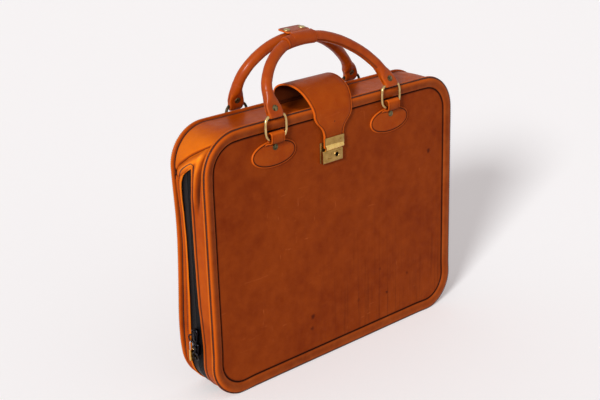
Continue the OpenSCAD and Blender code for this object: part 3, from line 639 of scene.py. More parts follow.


# panels: flat hides, darkened in the groove beside the border: edge dye and painted shade
panelForm = {
    "rings": [         # inset, distance from the middle, tone; the first two make its back
        (4.2, 34.6, 0), (4.2, 36.2, 0), (15.5, 36.6, -1), (17.5, 36.7, -1), (18.0, 36.75, -1),
        (18.7, 36.9, -1), (19.4, 37.3, -0.75), (20.2, 37.5, -0.25), (21.6, 37.56, 0), (25, 37.6, 0),
        (32, 37.65, 0), (42, 37.7, 0), (56, 37.75, 0)],
    "finish": {"front": "panel", "rear": "rearPanel"},
}


def addPanels():
    runs = runSteps(0, wholeRun)[:-1]
    for half, side, body in halves:
        rows, tones = [], []
        for inset, depth, tone in panelForm["rings"]:
            row = [onOutline(run, inset) for run in runs]
            rows.append([(x, side * depth, z) for x, z in row])
            tones.append([tone] * len(runs))
        panel = addLoft(half + "_panel_leather", rows, panelForm["finish"][half], body, tones=tones)
        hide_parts(half + "_panel")


# gusset: the soft band between the halves, with the zip's opening on both sides and below
gussetForm = {
    "halfDepth": 33,
    "thick": 1.4, "bandThick": 2,
    # where the visible seam across the band's ends lies: depth, height
    "seam": [(-33, 399), (-23, 392), (-0.8, 377), (16.5, 363), (24, 356), (33, 347)],
    # the opening's front and rear edges: height, depth
    "frontEdge": [(0, -10.5), (60, -11.5), (85, -11), (105, -9.6), (125, -8.4), (155, -6.4), (200, -5.3),
                  (238, -4.8), (303, -4.7), (316, -5.2), (335, -7.2), (352, -8.6), (362, -8.8)],
    "rearEdge": [(0, 19), (50, 18.6), (80, 17.4), (105, 16.4), (125, 15.6), (155, 14.8), (200, 14.4),
                 (238, 14.8), (284, 17.4), (311, 19.4), (325, 18.6), (335, 17.2), (341, 15.0), (346, 11.6),
                 (350.5, 7), (354.5, 2.2), (358.5, -3.4), (362, -8.8)],
    "tip": (-8.8, 362),    # where both edges meet: depth, height
    "joinZ": 344,          # the rear strip ends here and the bending piece goes on
    "plainZ": 300,         # the front strip's rows lie level from here down
    "rimSeam": 30.4,       # depth of the line sewn beside the rear rim
    # where the valley of the long pleat lies: height, depth
    "valley": [(290, -17), (319, -20.5), (334, -22.5), (348, -24.8), (362, -28.2), (376, -31), (388, -32.5)],
    # the line sewn round the top of the opening: depth, height
    "arch": [(19.9, 344), (15.6, 351.1), (11, 355.6), (6.2, 359.6), (0.6, 363.6), (-4.8, 367.1),
             (-9.5, 369.2), (-12.8, 367.8), (-14.3, 363), (-14.2, 356)],
    "bandTop": 190,        # nearer the middle than this the band is plain
    # two points on the band, between which it would bend with the lid; nothing bends it here
    "blendStart": (0, 5.9, 357.3),
    "blendEnd": (0, -7.7, 351.0),
}
# pleats and swells at the top corners
pleatForm = {
    "grows": (285, 330), "fades": (400, 378),              # heights over which the pleat comes and goes
    "valley": (4.4, 3.2), "ridge": (1.8, 4.0),             # how deep or high, and how wide
    "ridgeAside": 7.5,
    "archMiddle": (-6, 368), "archSlope": 0.63,            # depth and height of the ridge over the opening
    "archRear": (26, 10), "archFront": (-34, -24),         # depths over which it ends
    "archRidge": (2.4, 4.4), "archValley": (1.2, 3.2), "archValleyAside": 8.5,
    "crown": 0.8, "crownGrows": (95, 150), "topSag": 0.7,
    "swells": [   # lift, height, span, depth, span, heights over which it comes
        (1.3, 380, 30, 14, 22, (320, 350)), (1.5, 338, 20, 25, 6, (-2, -1)),
        (-0.9, 250, 60, 26, 8, (-2, -1))],
    "rootShade": (58, 46),                                 # distance from the flap's middle
    "litHeights": (325, 385), "litPlaces": (-205, -245), "lit": 0.45,
    "lowHeights": (300, 120), "lowShade": 0.12,
}


def pleatPlace(y, z):
    # how strong the pleat is here, where its valley lies, and the way to and along the ridge over the opening
    p = pleatForm
    fold = smooth(*p["grows"], z) * smooth(*p["fades"], z)
    valleyY = straightAlong(gussetForm["valley"], z)
    middleY, middleZ = p["archMiddle"]
    acrossArch = (z - middleZ + (y - middleY) * p["archSlope"]) * 0.85      # the way square to its slope
    alongArch = smooth(*p["archRear"], y) * smooth(*p["archFront"], y)
    return fold, valleyY, acrossArch, alongArch


def gussetLift(x, y, z):
    # how far the leather stands out: its crown, the bulge at the top corners and the pleats
    p = pleatForm
    crown = 1 - (y / gussetForm["halfDepth"]) ** 2
    lift = p["crown"] * crown * smooth(*p["crownGrows"], z)
    if abs(x) < gussetForm["bandTop"]:
        level = smooth(gussetForm["bandTop"], 150, abs(x))
        lift = lift * (1 - level) - p["topSag"] * crown * level * (z > 200)
        return lift + 0.25 * drift(x, y, z, 40)
    fold, valleyY, acrossArch, alongArch = pleatPlace(y, z)
    (deep, deepWide), (high, highWide) = p["valley"], p["ridge"]
    lift += fold * (-deep * bell(y, valleyY, deepWide) + high * bell(y, valleyY + p["ridgeAside"], highWide))
    (high, highWide), (deep, deepWide) = p["archRidge"], p["archValley"]
    lift += alongArch * (high * bell(acrossArch, 0, highWide)
                         - deep * bell(acrossArch, p["archValleyAside"], deepWide))
    for swell, middleZ, spanZ, middleY, spanY, comes in p["swells"]:
        lift += swell * bell(z, middleZ, spanZ) * bell(y, middleY, spanY) * smooth(*comes, z)
    return lift + 0.22 * drift(x, y, z, 30)


def gussetShade(x, y, z):
    # painted light and shade: lighter on the pleats' backs, on the ridge over the opening and in the lit
    # upper left corner, darker in their valleys, beside that ridge, under the flap and lower down
    p = pleatForm
    if abs(x) < gussetForm["bandTop"]:
        return -0.6 * smooth(*p["rootShade"], abs(x - flapForm["centre"])) * (z > 200)
    fold, valleyY, acrossArch, alongArch = pleatPlace(y, z)
    shade = fold * (-1.3 * bell(y, valleyY - 0.3, 3.6) + 0.4 * bell(y, valleyY + p["ridgeAside"], 2.6))
    shade += alongArch * (0.5 * bell(acrossArch, -0.5, 3.0) - 0.25 * bell(acrossArch, 7.5, 2.6))
    shade = max(-0.85, shade) + p["lit"] * smooth(*p["litHeights"], z) * smooth(*p["litPlaces"], x)
    return shade - p["lowShade"] * smooth(*p["lowHeights"], z)


def gussetPoint(run, y, extra=0):
    x, z = onOutline(run, caseForm["gusset"])
    lift = gussetLift(x, y, z) + extra
    x, z = onOutline(run, caseForm["gusset"] - lift)
    return x, y, z


def gussetNormal(run, y):
    a = Vector(gussetPoint(run - 0.5, y))
    b = Vector(gussetPoint(run + 0.5, y))
    c = Vector(gussetPoint(run, y - 0.5))
    d = Vector(gussetPoint(run, y + 0.5))
    normal = (b - a).cross(d - c).normalized()
    x, z = onOutline(run, 0)
    xi, zi = onOutline(run, 1)
    return (normal if normal.dot(Vector((x - xi, 0, z - zi))) > 0 else -normal), (b - a).normalized()


def mirrorRun(run, side):
    return run if side < 0 else wholeRun - run


def seamRun(y):
    return runAtHeight(straightAlong(gussetForm["seam"], y))


def edgeAt(table, run):
    return along(table, heightAtRun(run))


# the gusset's sewn edges: distance from the edge, lift and tone, before scaling
hemForm = {
    "opening": [       # beside the zip's opening, with the groove for the stitches
        (0, -0.9, 0.2), (0.25, 0.1, 0.7), (0.8, 0.6, 0.55), (1.8, 0.75, 0.2), (2.9, 0.7, 0.0),
        (3.6, 0.35, -0.5), (4.2, -0.25, -1.0), (4.8, -0.3, -1.0), (5.5, 0.0, -0.35), (6.6, 0.12, 0),
        (8.2, 0.05, 0)],
    "grooveAt": 4.5,
    "rearRim": [
        (5.6, 0, 0), (4.4, -0.05, -0.3), (3.6, -0.6, -1), (1.6, -0.6, -1), (1.0, -0.2, -0.8),
        (0.5, 0.0, -0.4), (0, 0, -0.3)],
    "frontRim": [
        (5.6, 0, 0), (4.5, 0, 0), (3.7, 0, 0), (2.7, 0, 0), (1.9, -0.1, 0), (0.8, -0.3, -0.3),
        (0, -0.5, -0.5)],
    "widest": {"front": 1.25, "rear": 1.9},        # scales of the hem before and behind the opening
    "room": 13,                                    # it gets narrower where the strip is less than this
    "rearFaint": 0.3,                              # the rear hem's groove hardly shows
}


def hemScale(edge, rim):
    return min(hemForm["widest"]["rear" if rim > edge else "front"], abs(rim - edge) / hemForm["room"])


def stripColumns(edge, rim, rimTable, bare=0):
    # depth, lift and tone from the edge across to the rim; bare takes the hem away above the opening
    way = 1 if rim > edge else -1
    faint = hemForm["rearFaint"] if rim > edge else 1
    scale = hemScale(edge, rim)
    columns = []
    for d, lift, tone in hemForm["opening"]:
        tone *= (1 - bare) * (faint if tone < 0 else 1)
        columns.append((edge + way * d * scale, lift * (1 - bare), tone))
    near = columns[-1][0]
    far = rim - way * rimTable[0][0] * scale
    columns += [(near + (far - near) * i / 10, 0, 0) for i in range(1, 10)]
    return columns + [(rim - way * d * scale, lift, tone) for d, lift, tone in rimTable]


def gussetRow(run, edge, rim, rimTable, bare=0):
    row, tones = [], []
    for y, lift, tone in stripColumns(edge, rim, rimTable, bare):
        at = run(y) if callable(run) else run
        under = min(at, wholeRun - at) - seamRun(y)      # how far past the band's end
        row.append(gussetPoint(at, y, lift - 1.4 * smooth(7, -1, under)))
        tones.append(tone if tone < -0.2 else tone + gussetShade(*row[-1]))
    return row, tones


def thicken(piece, thickness):
    # gives an open skin its thickness, inwards
    modifier = piece.modifiers.new("thickness", "SOLIDIFY")
    modifier.thickness = thickness * mm
    modifier.offset = -1
    modifier.use_even_offset = False
    graph = bpy.context.evaluated_depsgraph_get()
    done = bpy.data.meshes.new_from_object(piece.evaluated_get(graph))
    piece.modifiers.clear()
    piece.data = done
    done.shade_smooth()
    done.set_sharp_from_angle(angle=math.radians(50))
    return piece


def addSkin(name, grids, thickness):
    # one skin of leather from several open grids of rows
    points, tones, faces = [], [], []
    for rows in grids:
        faces += gridFaces(len(rows), len(rows[0][0]), start=len(points))
        for row, rowTones in rows:
            points += row
            tones += rowTones
    piece = addMesh(name, points, faces, "gusset", None, tones)
    face = piece.data.polygons[0]
    if face.normal.dot(fromMiddle(face.center)) < 0:
        piece.data.flip_normals()
    return thicken(piece, thickness)


def fromMiddle(centre):
    # the way out of the outline near a point
    x, z = centre.x / mm, centre.z / mm
    cx = max(-halfRun, min(halfRun, x))
    cz = max(caseForm["corner"], min(caseForm["height"] - caseForm["corner"], z))
    return Vector((x - cx, 0, z - cz)) if (x - cx, z - cz) != (0, 0) else Vector((0, 0, 1))


def bendAtTop(piece):
    # bakes the piece's place into its mesh; the points between which the leather would bend with the lid are
    # read but not used
    start, end = [tuple(v * mm for v in gussetForm[key]) for key in ("blendStart", "blendEnd")]
    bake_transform(piece)
    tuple(start)
    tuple(end)


def addTopBand():
    # from one side's seam over the top to the other's
    g = gussetForm
    rows = []
    count, plain = 120, 27.4       # rows, and half the depth between the sewn edges
    columns = [(d - g["halfDepth"], lift, tone) for d, lift, tone in reversed(hemForm["frontRim"])]
    columns += [(-plain + 2 * plain * i / 20, 0, 0) for i in range(1, 20)]
    columns += [(g["halfDepth"] - d, lift, tone) for d, lift, tone in hemForm["rearRim"]]
    for i in range(count + 1):
        share = 2 * i / count - 1
        row, tones = [], []
        for y, lift, tone in columns:
            end = seamRun(y)
            run = share * end
            nearEnd = end - abs(run)
            lip = -0.8 * smooth(0.8, 0, nearEnd) + 0.35 * bell(nearEnd, 2.4, 1.8)
            row.append(gussetPoint(run, y, lift + lip))
            # a painted shadow line along the band's cut end, and a painted highlight just inside it along the
            # seam
            if nearEnd < 1.4:
                tone = min(tone, -0.9 * smooth(1.3, 0.5, nearEnd) * smooth(27, 17, y))
            elif tone >= -0.2:
                tone = tone + 0.4 * bell(nearEnd, 2.4, 1.2) + gussetShade(*row[-1])
            tones.append(tone)
        rows.append((row, tones))
    band = addSkin("top_band", [rows], g["bandThick"])
    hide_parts("top_gusset")
    bendAtTop(band)


def addZipEnds(tipRun, joinRun):
    # the leather round the zip's two ends; the left piece goes on as the front strip, under the case and up
    g = gussetForm
    tipY, tipZ = g["tip"]
    plainRun = runAtHeight(g["plainZ"])
    tipShare = (tipRun - seamRun(tipY) + 5) / (plainRun - seamRun(tipY) + 5)
    upper = [tipShare * i / 9 for i in range(9)]
    frontShares = upper + [tipShare + (1 - tipShare) * (i / 22) ** 1.3 for i in range(23)]
    rearShares = upper + [tipShare + (1 - tipShare) * i / 14 for i in range(15)]

    def slantRun(share, y):
        return (1 - share) * (seamRun(y) - 5) + share * plainRun

    def meetingY(runAt, table, tries=30, pull=0.5, edgeOnly=False):
        # where a slanting row meets the opening's edge, or above the opening the line between the two grids
        y = tipY
        for _ in range(tries):
            run = runAt(y)
            middleY = tipY - (heightAtRun(run) - tipZ) * 0.22
            y += pull * ((middleY if run <= tipRun and not edgeOnly else edgeAt(table, run)) - y)
        return y

    for side, name in ((-1, "left"), (1, "right")):
        frontRows, rearRows = [], []
        for share in frontShares:
            def runAt(y):
                return slantRun(share, y)
            bare = smooth(tipShare, tipShare * 0.8, share)
            frontRows.append(gussetRow(lambda y: mirrorRun(runAt(y), side), meetingY(runAt, g["frontEdge"]),
                                       -g["halfDepth"], hemForm["frontRim"], bare))
        for share in rearShares:
            # this grid's rows turn level, down to where the rear strip takes over
            level = max(0, (share - tipShare) / (1 - tipShare))

            def runAt(y):
                return (1 - level) * slantRun(tipShare, y) + level * joinRun if level else slantRun(share, y)
            y = meetingY(runAt, g["rearEdge"], 40, 0.4, True) if level else meetingY(runAt, g["rearEdge"])
            rearRows.append(gussetRow(lambda y: mirrorRun(runAt(y), side), y, g["halfDepth"],
                                      hemForm["rearRim"], 1 if share < tipShare * 0.99 else 0))
        if side < 0:
            frontRows += [gussetRow(mirrorRun(run, -1), edgeAt(g["frontEdge"], run), -g["halfDepth"],
                                    hemForm["frontRim"])
                          for run in runSteps(plainRun, wholeRun - plainRun)[1:]]
        end = addSkin("zip_end_" + name, [frontRows, rearRows], g["thick"])
        bendAtTop(end)
        addArchLine(end, side, name)
        if side < 0:
            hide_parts("front_side_gusset")


def addGussets():
    g = gussetForm
    tipRun, joinRun = runAtHeight(g["tip"][1]), runAtHeight(g["joinZ"])
    addTopBand()
    addZipEnds(tipRun, joinRun)
    rows = [gussetRow(run, edgeAt(g["rearEdge"], run), g["halfDepth"], hemForm["rearRim"])
            for run in runSteps(joinRun, wholeRun - joinRun)]
    rear = addSkin("rear_strip", [rows], g["thick"])
    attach(rear, "back_half")
    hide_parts("rear_side_gusset")
    addGussetStitches(joinRun, tipRun)


def addArchLine(end, side, name):
    # the sewn line round the top of the opening: a sunk cord of thread, with the stitches on it
    tree = BVHTree.FromPolygons([v.co for v in end.data.vertices], [p.vertices[:] for p in end.data.polygons])
    rows, places, walked, last = [], [], 0, None
    for (y, z), (dy, dz) in curveThrough(gussetForm["arch"], 0.8):
        hit, normal, _, _ = tree.ray_cast(Vector((side * 0.3, y * mm, z * mm)), Vector((-side, 0, 0)))
        if hit is None:
            continue
        point = hit / mm
        if normal.x * side < 0:
            normal = -normal
        way = Vector((0, dy, dz)).normalized()
        across = way.cross(normal).normalized()
        rows.append([point + across * 0.75 * math.cos(t) + normal * (0.5 * math.sin(t) + 0.2)
                     for t in turns(8)])
        walked += 0 if last is None else (point - last).length
        last = point
        if walked >= caseForm["stitch"]:
            walked = 0
            places.append((point + normal * 0.6, way, normal))
    cord = addLoft("arch_groove_" + name, rows, "thread", None)
    stitches = addStitches("arch_stitches_" + name, places, "thread", None,
                           {"length": 2.5, "thick": 1.1, "slant": 0.12})
    bendAtTop(cord)
    bendAtTop(stitches)


def addGussetStitches(joinRun, tipRun):
    # sewn lines in the hems' grooves and beside the rear rim
    def placeOn(run, y, extra):
        normal, ahead = gussetNormal(run, y)
        point = Vector(gussetPoint(run, y, extra))
        return point, ahead, normal

    g, groove = gussetForm, hemForm["grooveAt"]
    front, rear, rim = [], [], []
    run = tipRun + 5
    while run < wholeRun - tipRun - 5:
        front.append(placeOn(run, edgeAt(g["frontEdge"], run) - groove * hemForm["widest"]["front"], -0.15))
        if joinRun < run < wholeRun - joinRun:
            edge = edgeAt(g["rearEdge"], run)
            rear.append(placeOn(run, edge + groove * hemScale(edge, g["halfDepth"]), -0.15))
        run += caseForm["stitch"]
    run = 0
    while run < wholeRun:
        rim.append(placeOn(run, g["rimSeam"], -0.35))
        run += caseForm["stitch"]
    thread = {"length": 2.5, "thick": 0.8, "slant": 0.12}
    addStitches("front_hem_stitches", front, "thread", "front_half", thread)
    addStitches("rear_hem_stitches", rear, "thread", "back_half", thread)
    addStitches("rear_rim_stitches", rim, "thread", "back_half", {"length": 2.6, "thick": 1.2, "slant": 0.3})


# zip: two tapes that meet over small teeth
zipForm = {
    "meet": 1.0,
    "topZ": 366, "teethTopZ": 344,
    "tape": [   # distance from the meeting line, inset of the face
        (0.12, 4.4), (0.15, 3.2), (0.4, 2.75), (0.9, 2.62), (2.2, 2.75), (3.2, 2.9), (4.6, 3.1), (8, 3.4),
        (12, 3.8), (16, 4.3), (20.5, 4.9)],
    "tapeThick": 1.0,
    "room": {   # under the arch the tape is narrower: height, distance from the meeting line
        "front": [(300, 17), (344, 12), (366, 6)],
        "rear": [(300, 20.5), (344, 16), (366, 7)]},
    "pitch": 2.6,
    "tooth": [(-0.62, -0.7), (0.62, -0.7), (0.4, 1.8), (-0.4, 1.8)],     # along the zip, across it
    "toothInsets": (3.5, 5.2),
}
boxFaces = ((0, 1, 2, 3), (4, 7, 6, 5), (0, 4, 5, 1), (1, 5, 6, 2), (2, 6, 7, 3), (3, 7, 4, 0))


def addTape(half, side, body):
    f = zipForm
    rows = []
    wide = f["tape"][-1][0]
    back = [(d + (0.3 if d < 1 else 0), inset + f["tapeThick"])
            for d, inset in reversed(f["tape"]) if d > 0.3]
    last = runAtHeight(f["topZ"])
    for run in runSteps(last, wholeRun - last, 7, 3.5):
        room = straightAlong(f["room"][half], heightAtRun(run))
        row = []
        for d, inset in f["tape"] + back:
            y = f["meet"] + side * min(d, room - (wide - d) * 0.02)
            x, z = onOutline(run, inset - 0.1 * drift(run, y * 3, 0, 45))
            row.append((x, y, z))
        rows.append(row)
    tape = addLoft(half + "_tape", rows, "tape", body)
    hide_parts(half + "_zip_tape")


def addTeeth(half, side, body):
    f = zipForm
    points, faces = [], []
    run = runAtHeight(f["teethTopZ"]) + (f["pitch"] / 2 if side > 0 else 0)
    while run < wholeRun - runAtHeight(f["teethTopZ"]):
        start = len(points)
        for inset in f["toothInsets"]:
            for ahead, across in f["tooth"]:
                x, z = onOutline(run + ahead, inset)
                points.append((x, f["meet"] + side * across, z))
        faces += [tuple(start + k for k in face) for face in boxFaces]
        run += f["pitch"]
    teeth = addMesh(half + "_teeth", points, faces, "zipMetal", body)
    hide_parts(half + "_zip_chain")


def addZip():
    for half, side, body in halves:
        addTape(half, side, body)
        addTeeth(half, side, body)


# inside: each half's cloth, held on its board
insideForm = {
    "face": [(5.9, 31.9), (5.9, 31.2), (6.6, 30.9), (9, 30.85), (20, 30.85), (40, 30.85)],    # inset, depth
    "back": [(9, 31.95), (20, 31.9), (40, 31.9)],
}


def addInside():
    runs = runSteps(0, wholeRun)[:-1]
    n = len(runs)
    for half, side, body in halves:
        points = []
        for inset, depth in insideForm["face"] + insideForm["back"]:
            for run in runs:
                x, z = onOutline(run, inset)
                puff = 0.08 * drift(x, side * 40, z, 25) if 6 < inset and depth < 31 else 0
                points.append((x, side * (depth + puff), z))
        back = len(insideForm["face"]) * n
        faces = gridFaces(len(insideForm["face"]), n, False, True) + [tuple(range(back - n, back))]
        starts = [0, back, back + n, back + 2 * n]
        for a, b in zip(starts, starts[1:]):
            faces += [(a + j, a + (j + 1) % n, b + (j + 1) % n, b + j) for j in range(n)]
        faces.append(tuple(range(starts[-1], starts[-1] + n)))
        cloth = addMesh(half + "_lining_cloth", points, faces, "lining", body)
        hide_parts(half + "_lining")


# flap: one strap from the rear of the top band over to the lock
flapForm = {
    "thick": 3, "edgeRound": 1.3, "lineIn": 3.6,
    "centre": -13,         # it hangs a little left of its root
    # its middle from the root over the top: depth, height; then it hangs straight down
    "arch": [(32.4, 411.6), (34.0, 415), (36.0, 420.5), (36.4, 426.5), (34.0, 432), (28.4, 436.8),
             (19.5, 440.6), (8, 442), (-5.5, 440.9), (-18, 436.2), (-29.5, 427.9), (-38, 417), (-42, 405),
             (-42.5, 396)],
    "faceY": -42.5, "bendZ": 396, "endZ": 346.6,
    "halfWidths": [(-42.5, 39), (-38, 42), (-30, 44.5), (0, 47), (34, 49)],       # depth, half width
    # it narrows to the lock in two arcs of one radius
    "arcRadius": 28.1, "upperArcZ": 405, "upperArcIn": 8.1, "arcsMeetZ": 383.5, "lowerArcZ": 362,
    "endHalf": 20,
    "heelZ": 417.2,        # below this height it is the root piece, and above it the flap
    "stripHalf": 48.5,
    "strip": [(21, 410.3), (20.9, 411.6), (21.5, 412.5), (23, 412.8), (31.4, 412.8), (32.7, 412.4),
              (33.0, 411.2), (32.7, 410.3)],
}


def flapHalfWidth(y, z, straight):
    f = flapForm
    r = f["arcRadius"]
    if not straight:
        return straightAlong(f["halfWidths"], y)
    if z > f["arcsMeetZ"]:
        return f["endHalf"] - f["upperArcIn"] + math.sqrt(r ** 2 - (f["upperArcZ"] - z) ** 2)
    if z > f["lowerArcZ"]:
        return f["endHalf"] + r - math.sqrt(r ** 2 - (z - f["lowerArcZ"]) ** 2)
    return f["endHalf"]


def strapSection(half, thick, edge, lineIn):
    # a closed ring across a strap sewn along both edges: place across, way out of the middle, tone
    top = thick / 2
    line = half - lineIn
    marks = [half - edge - d for d in (0, 0.6, 1.4)] + [line + d for d in (-0.9, -0.35, 0, 0.35, 0.9)]
    outer = []
    for m in sorted(marks + [half * share for share in (0, 0.25, 0.5, 0.72)]):
        tone = -min(1, 0.95 * bell(m, line, 0.5)) + 0.35 * smooth(edge + 2.2, edge, half - m)
        outer.append((m, top - 0.42 * bell(m, line, 0.42), tone))
    for k in range(1, 6):
        a = math.radians(90 - 90 * k / 5)
        outer.append((half - edge + edge * math.cos(a), top - edge + edge * math.sin(a), 0.8))
    outer += [(half, -top + 0.4, 0.5), (half - 0.4, -top, 0.2), (half * 0.5, -top, 0)]
    return outer + [(-m, out, tone) for m, out, tone in reversed(outer) if m > 0]


def addFlap():
    f = flapForm
    steps = [(place, (dz, -dy), False) for place, (dy, dz) in curveThrough(f["arch"], 2.2)[:-1]]
    z = f["bendZ"]
    while z > f["endZ"]:
        steps.append(((f["faceY"], z), (-1, 0), True))
        z -= 1.8
    steps.append(((f["faceY"], f["endZ"]), (-1, 0), True))
    rows, tones = [], []
    for (y, z), out, straight in steps:
        wave = 0.35 * drift(y * 2, z, 5, 24) * smooth(360, 385, z)
        row, rowTones = [], []
        for across, lift, tone in strapSection(flapHalfWidth(y, z, straight), f["thick"], f["edgeRound"],
                                               f["lineIn"]):
            row.append((f["centre"] + across, y + out[0] * (lift + wave), z + out[1] * (lift + wave)))
            if lift < 1.4 - f["thick"] / 2 - f["edgeRound"]:
                tone = -0.8                       # painted shade on the leather's back, under the flap's arch
            rowTones.append(tone - 0.3 * smooth(388, 362, z) * (tone < 0.2))
        rows.append(row)
        tones.append(rowTones)
    cut = next(i for i, ((y, z), _, _) in enumerate(steps) if z > f["heelZ"])
    root = addLoft("flap_root", rows[:cut + 1], "flap", None, tones=tones[:cut + 1])
    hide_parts("flap_heel")
    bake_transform(root)
    flap = addLoft("flap_leather", rows[cut:], "flap", None, tones=tones[cut:])
    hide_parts("flap")
    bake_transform(flap)
    # the strip under its root, sewn to the top band, in a darker copy of the strap leather: painted shade
    # under the flap
    strip = addPrism("flap_root_strip", f["strip"], f["centre"] - f["stripHalf"],
                     f["centre"] + f["stripHalf"], "shadedStrap", "back_half", 0.35, 2)
    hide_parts("flap_anchor")


# lock and hasp
lockForm = {
    "left": -37.5, "right": 3.2, "low": 322.4, "high": 342.4, "face": -45.2,
    "plateLeft": -38.2, "plateRight": 3.0, "plateHigh": 355,
    "haspLeft": -33.2, "haspRight": 6.2, "lipRight": 3.4,
    "keyX": -10, "keyZ": 333.5,          # the cylinder turns about this line
    # radius, depth
    "collar": [(5.2, 0.6), (5.2, -0.5), (4.9, -0.85), (4.4, -0.9), (4.1, -0.6), (3.9, 0.2)],
    "core": [(3.8, 0.6), (3.8, -0.2), (3.5, -0.45)],
    "rivet": 3.4, "rivetHigh": 0.7,
}


def addLock():
    k = lockForm
    left, right, low, high, face = [k[key] for key in ("left", "right", "low", "high", "face")]
    # the back plate, which shows beside the strap's end
    addPrism("lock_back_plate", [(-37.3, low + 0.6), (-37.3, k["plateHigh"]), (-39.2, k["plateHigh"]),
                                 (-39.2, low + 0.6)],
             k["plateLeft"], k["plateRight"], "brightBrass", "front_half", 0.35)
    # the case: a pressed body with a raised middle
    body = addPrism("lock_body", [(-39.0, low), (-39.0, high), (face + 0.8, high), (face, high - 1.4),
                                  (face, low + 1.6), (face + 1.2, low)],
                    left, right, "brightBrass", "front_half", 0.6)
    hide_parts("lock_case")
    addPrism("lock_face", [(face + 0.5, low + 3.2), (face + 0.5, high - 3.4), (face - 0.45, high - 3.8),
                           (face - 0.45, low + 3.6)],
             left + 3, right - 3, "brightBrass", "front_half", 0.3)

    # the cylinder's dished collar and its turning core with the key slot
    def roundRows(steps):
        return [[(k["keyX"] + radius * math.cos(a), face + depth, k["keyZ"] + radius * math.sin(a))
                 for a in turns(36)] for radius, depth in steps]
    addLoft("lock_collar", roundRows(k["collar"]), "brass", "front_half")
    core = addLoft("lock_core", roundRows(k["core"]), "brass", "key_cylinder")
    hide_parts("lock_cylinder")
    # the key slot and its eye are thin dark plugs on the core's face: painted shade in place of the hole
    for wide, long, shift, name in ((1.0, 4.6, 0, "slot"), (2.2, 1.6, 0.9, "eye")):
        outline = [(k["keyX"] + wide / 2 * math.cos(a), k["keyZ"] + shift + long / 2 * math.sin(a))
                   for a in turns(20)]
        rows = [[(x, face - 0.52 + depth, z) for x, z in outline] for depth in (0.5, 0)]
        addLoft("key_" + name, rows, "slotShade", "key_cylinder")
    # a small thumb slide beside the keyhole
    addPrism("lock_slide", [(face - 0.2, k["keyZ"] - 5.6), (face - 0.2, k["keyZ"] - 3.6),
                            (face - 1.7, k["keyZ"] - 3.9), (face - 1.9, k["keyZ"] - 5.3)],
             k["keyX"] - 18, k["keyX"] - 10.5, "brass", "front_half", 0.35)
    # the hasp: a flat plate and a rolled lip over the case, the lip in a lighter copy of the brass as a
    # painted highlight
    hasp = addPrism("hasp_leaf", [(-44.05, 362.4), (-45.4, 362.4), (-45.7, 361.8), (-45.7, 349),
                                  (-44.05, 349)],
                    k["haspLeft"], k["haspRight"], "brightBrass", "flap_body", 0.3, 2)
    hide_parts("hasp_plate")
    arc = [(-45.4 - 3.0 * math.sin(math.pi * i / 14) ** 0.8, 351.4 - 9.4 * i / 14) for i in range(15)]
    addPrism("hasp_lip", arc + [(-44.4, 342.2), (-44.4, 351.2)], k["haspLeft"] + 0.2, k["lipRight"],
             "lipBrass", "flap_body", 0.3, 2)
    for x, name in ((k["haspLeft"] + 6.4, "left"), (k["haspRight"] - 6.4, "right")):
        rivet = addRivet("hasp_rivet_" + name, (x, -45.7, 356.4), (0, -1, 0), k, "brass", "flap_body")
        if name == "left":
            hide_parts("hasp_rivets")


def dressNode(node, finish):
    # gives a solid of the frame its finish, as it is
    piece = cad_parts[node]
    piece.data.materials.clear()
    piece.data.materials.append(finishes[finish][0])
    piece.data.shade_smooth()
    piece.data.set_sharp_from_angle(angle=math.radians(35))


# chapes: oval leather plates whose necks hold the rings
chapeForm = {
    "centres": {"left": -129, "right": 112},
    "wide": 85.5, "high": 41.5, "square": 2.1, "centreZ": 360.6,
    "barDepth": 44.8233, "barZ": 383.2, "barRadius": 5.9, "barRise": 6.5,
    "steps": [   # inset, depth, tone
        (0, 36.9, -0.5), (0, 38.6, 0.4), (0.15, 39.3, 0.7), (0.6, 39.85, 0.7), (1.2, 40.1, 0.4),
        (2.0, 40.05, 0), (2.4, 39.8, -0.8), (2.9, 39.5, -1), (3.5, 39.65, -0.9), (4.1, 39.9, -0.2),
        (6, 40, 0), (9, 40, 0), (13, 40, 0), (19, 40, 0)],
    "neckFoot": [   # where the neck leaves the plate: place, way out, half width
        ((39.2, 372), (1, 0), 22), ((39.9, 373.4), (1, 0), 21), ((40.3, 375.2), (0.95, -0.3), 18),
        ((41.3, 376.7), (0.75, -0.65), 15.5), ((42.9, 377.5), (0.4, -0.9), 14)],
    "neckHalf": 12.6,
    "rivet": 9.6, "rivetHigh": 1.5,
}


def ovalPoint(share, inset, form):
    a = 2 * math.pi * share
    return (squared(math.cos(a), 2 / form["square"]) * (form["wide"] / 2 - inset),
            squared(math.sin(a), 2 / form["square"]) * (form["high"] / 2 - inset))


def addPlate(name, centreX, side, body):
    c = chapeForm
    count = 120
    rows, tones = [], []
    # the edge's light tone is strongest at its upper left, where the light falls: painted highlight
    wornAndLit = [0.2 + 1.1 * max(0, math.cos(a - 2.7)) for a in turns(count)]
    for inset, depth, tone in c["steps"]:
        places = [ovalPoint(i / count, inset, c) for i in range(count)]
        rows.append([(centreX + x, side * depth, c["centreZ"] + z) for x, z in places])
        tones.append([tone if tone < 0 else tone * share for share in wornAndLit])
    plate = addLoft(name + "_plate", rows, "strap", body, tones=tones)
    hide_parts(name + "_chape")


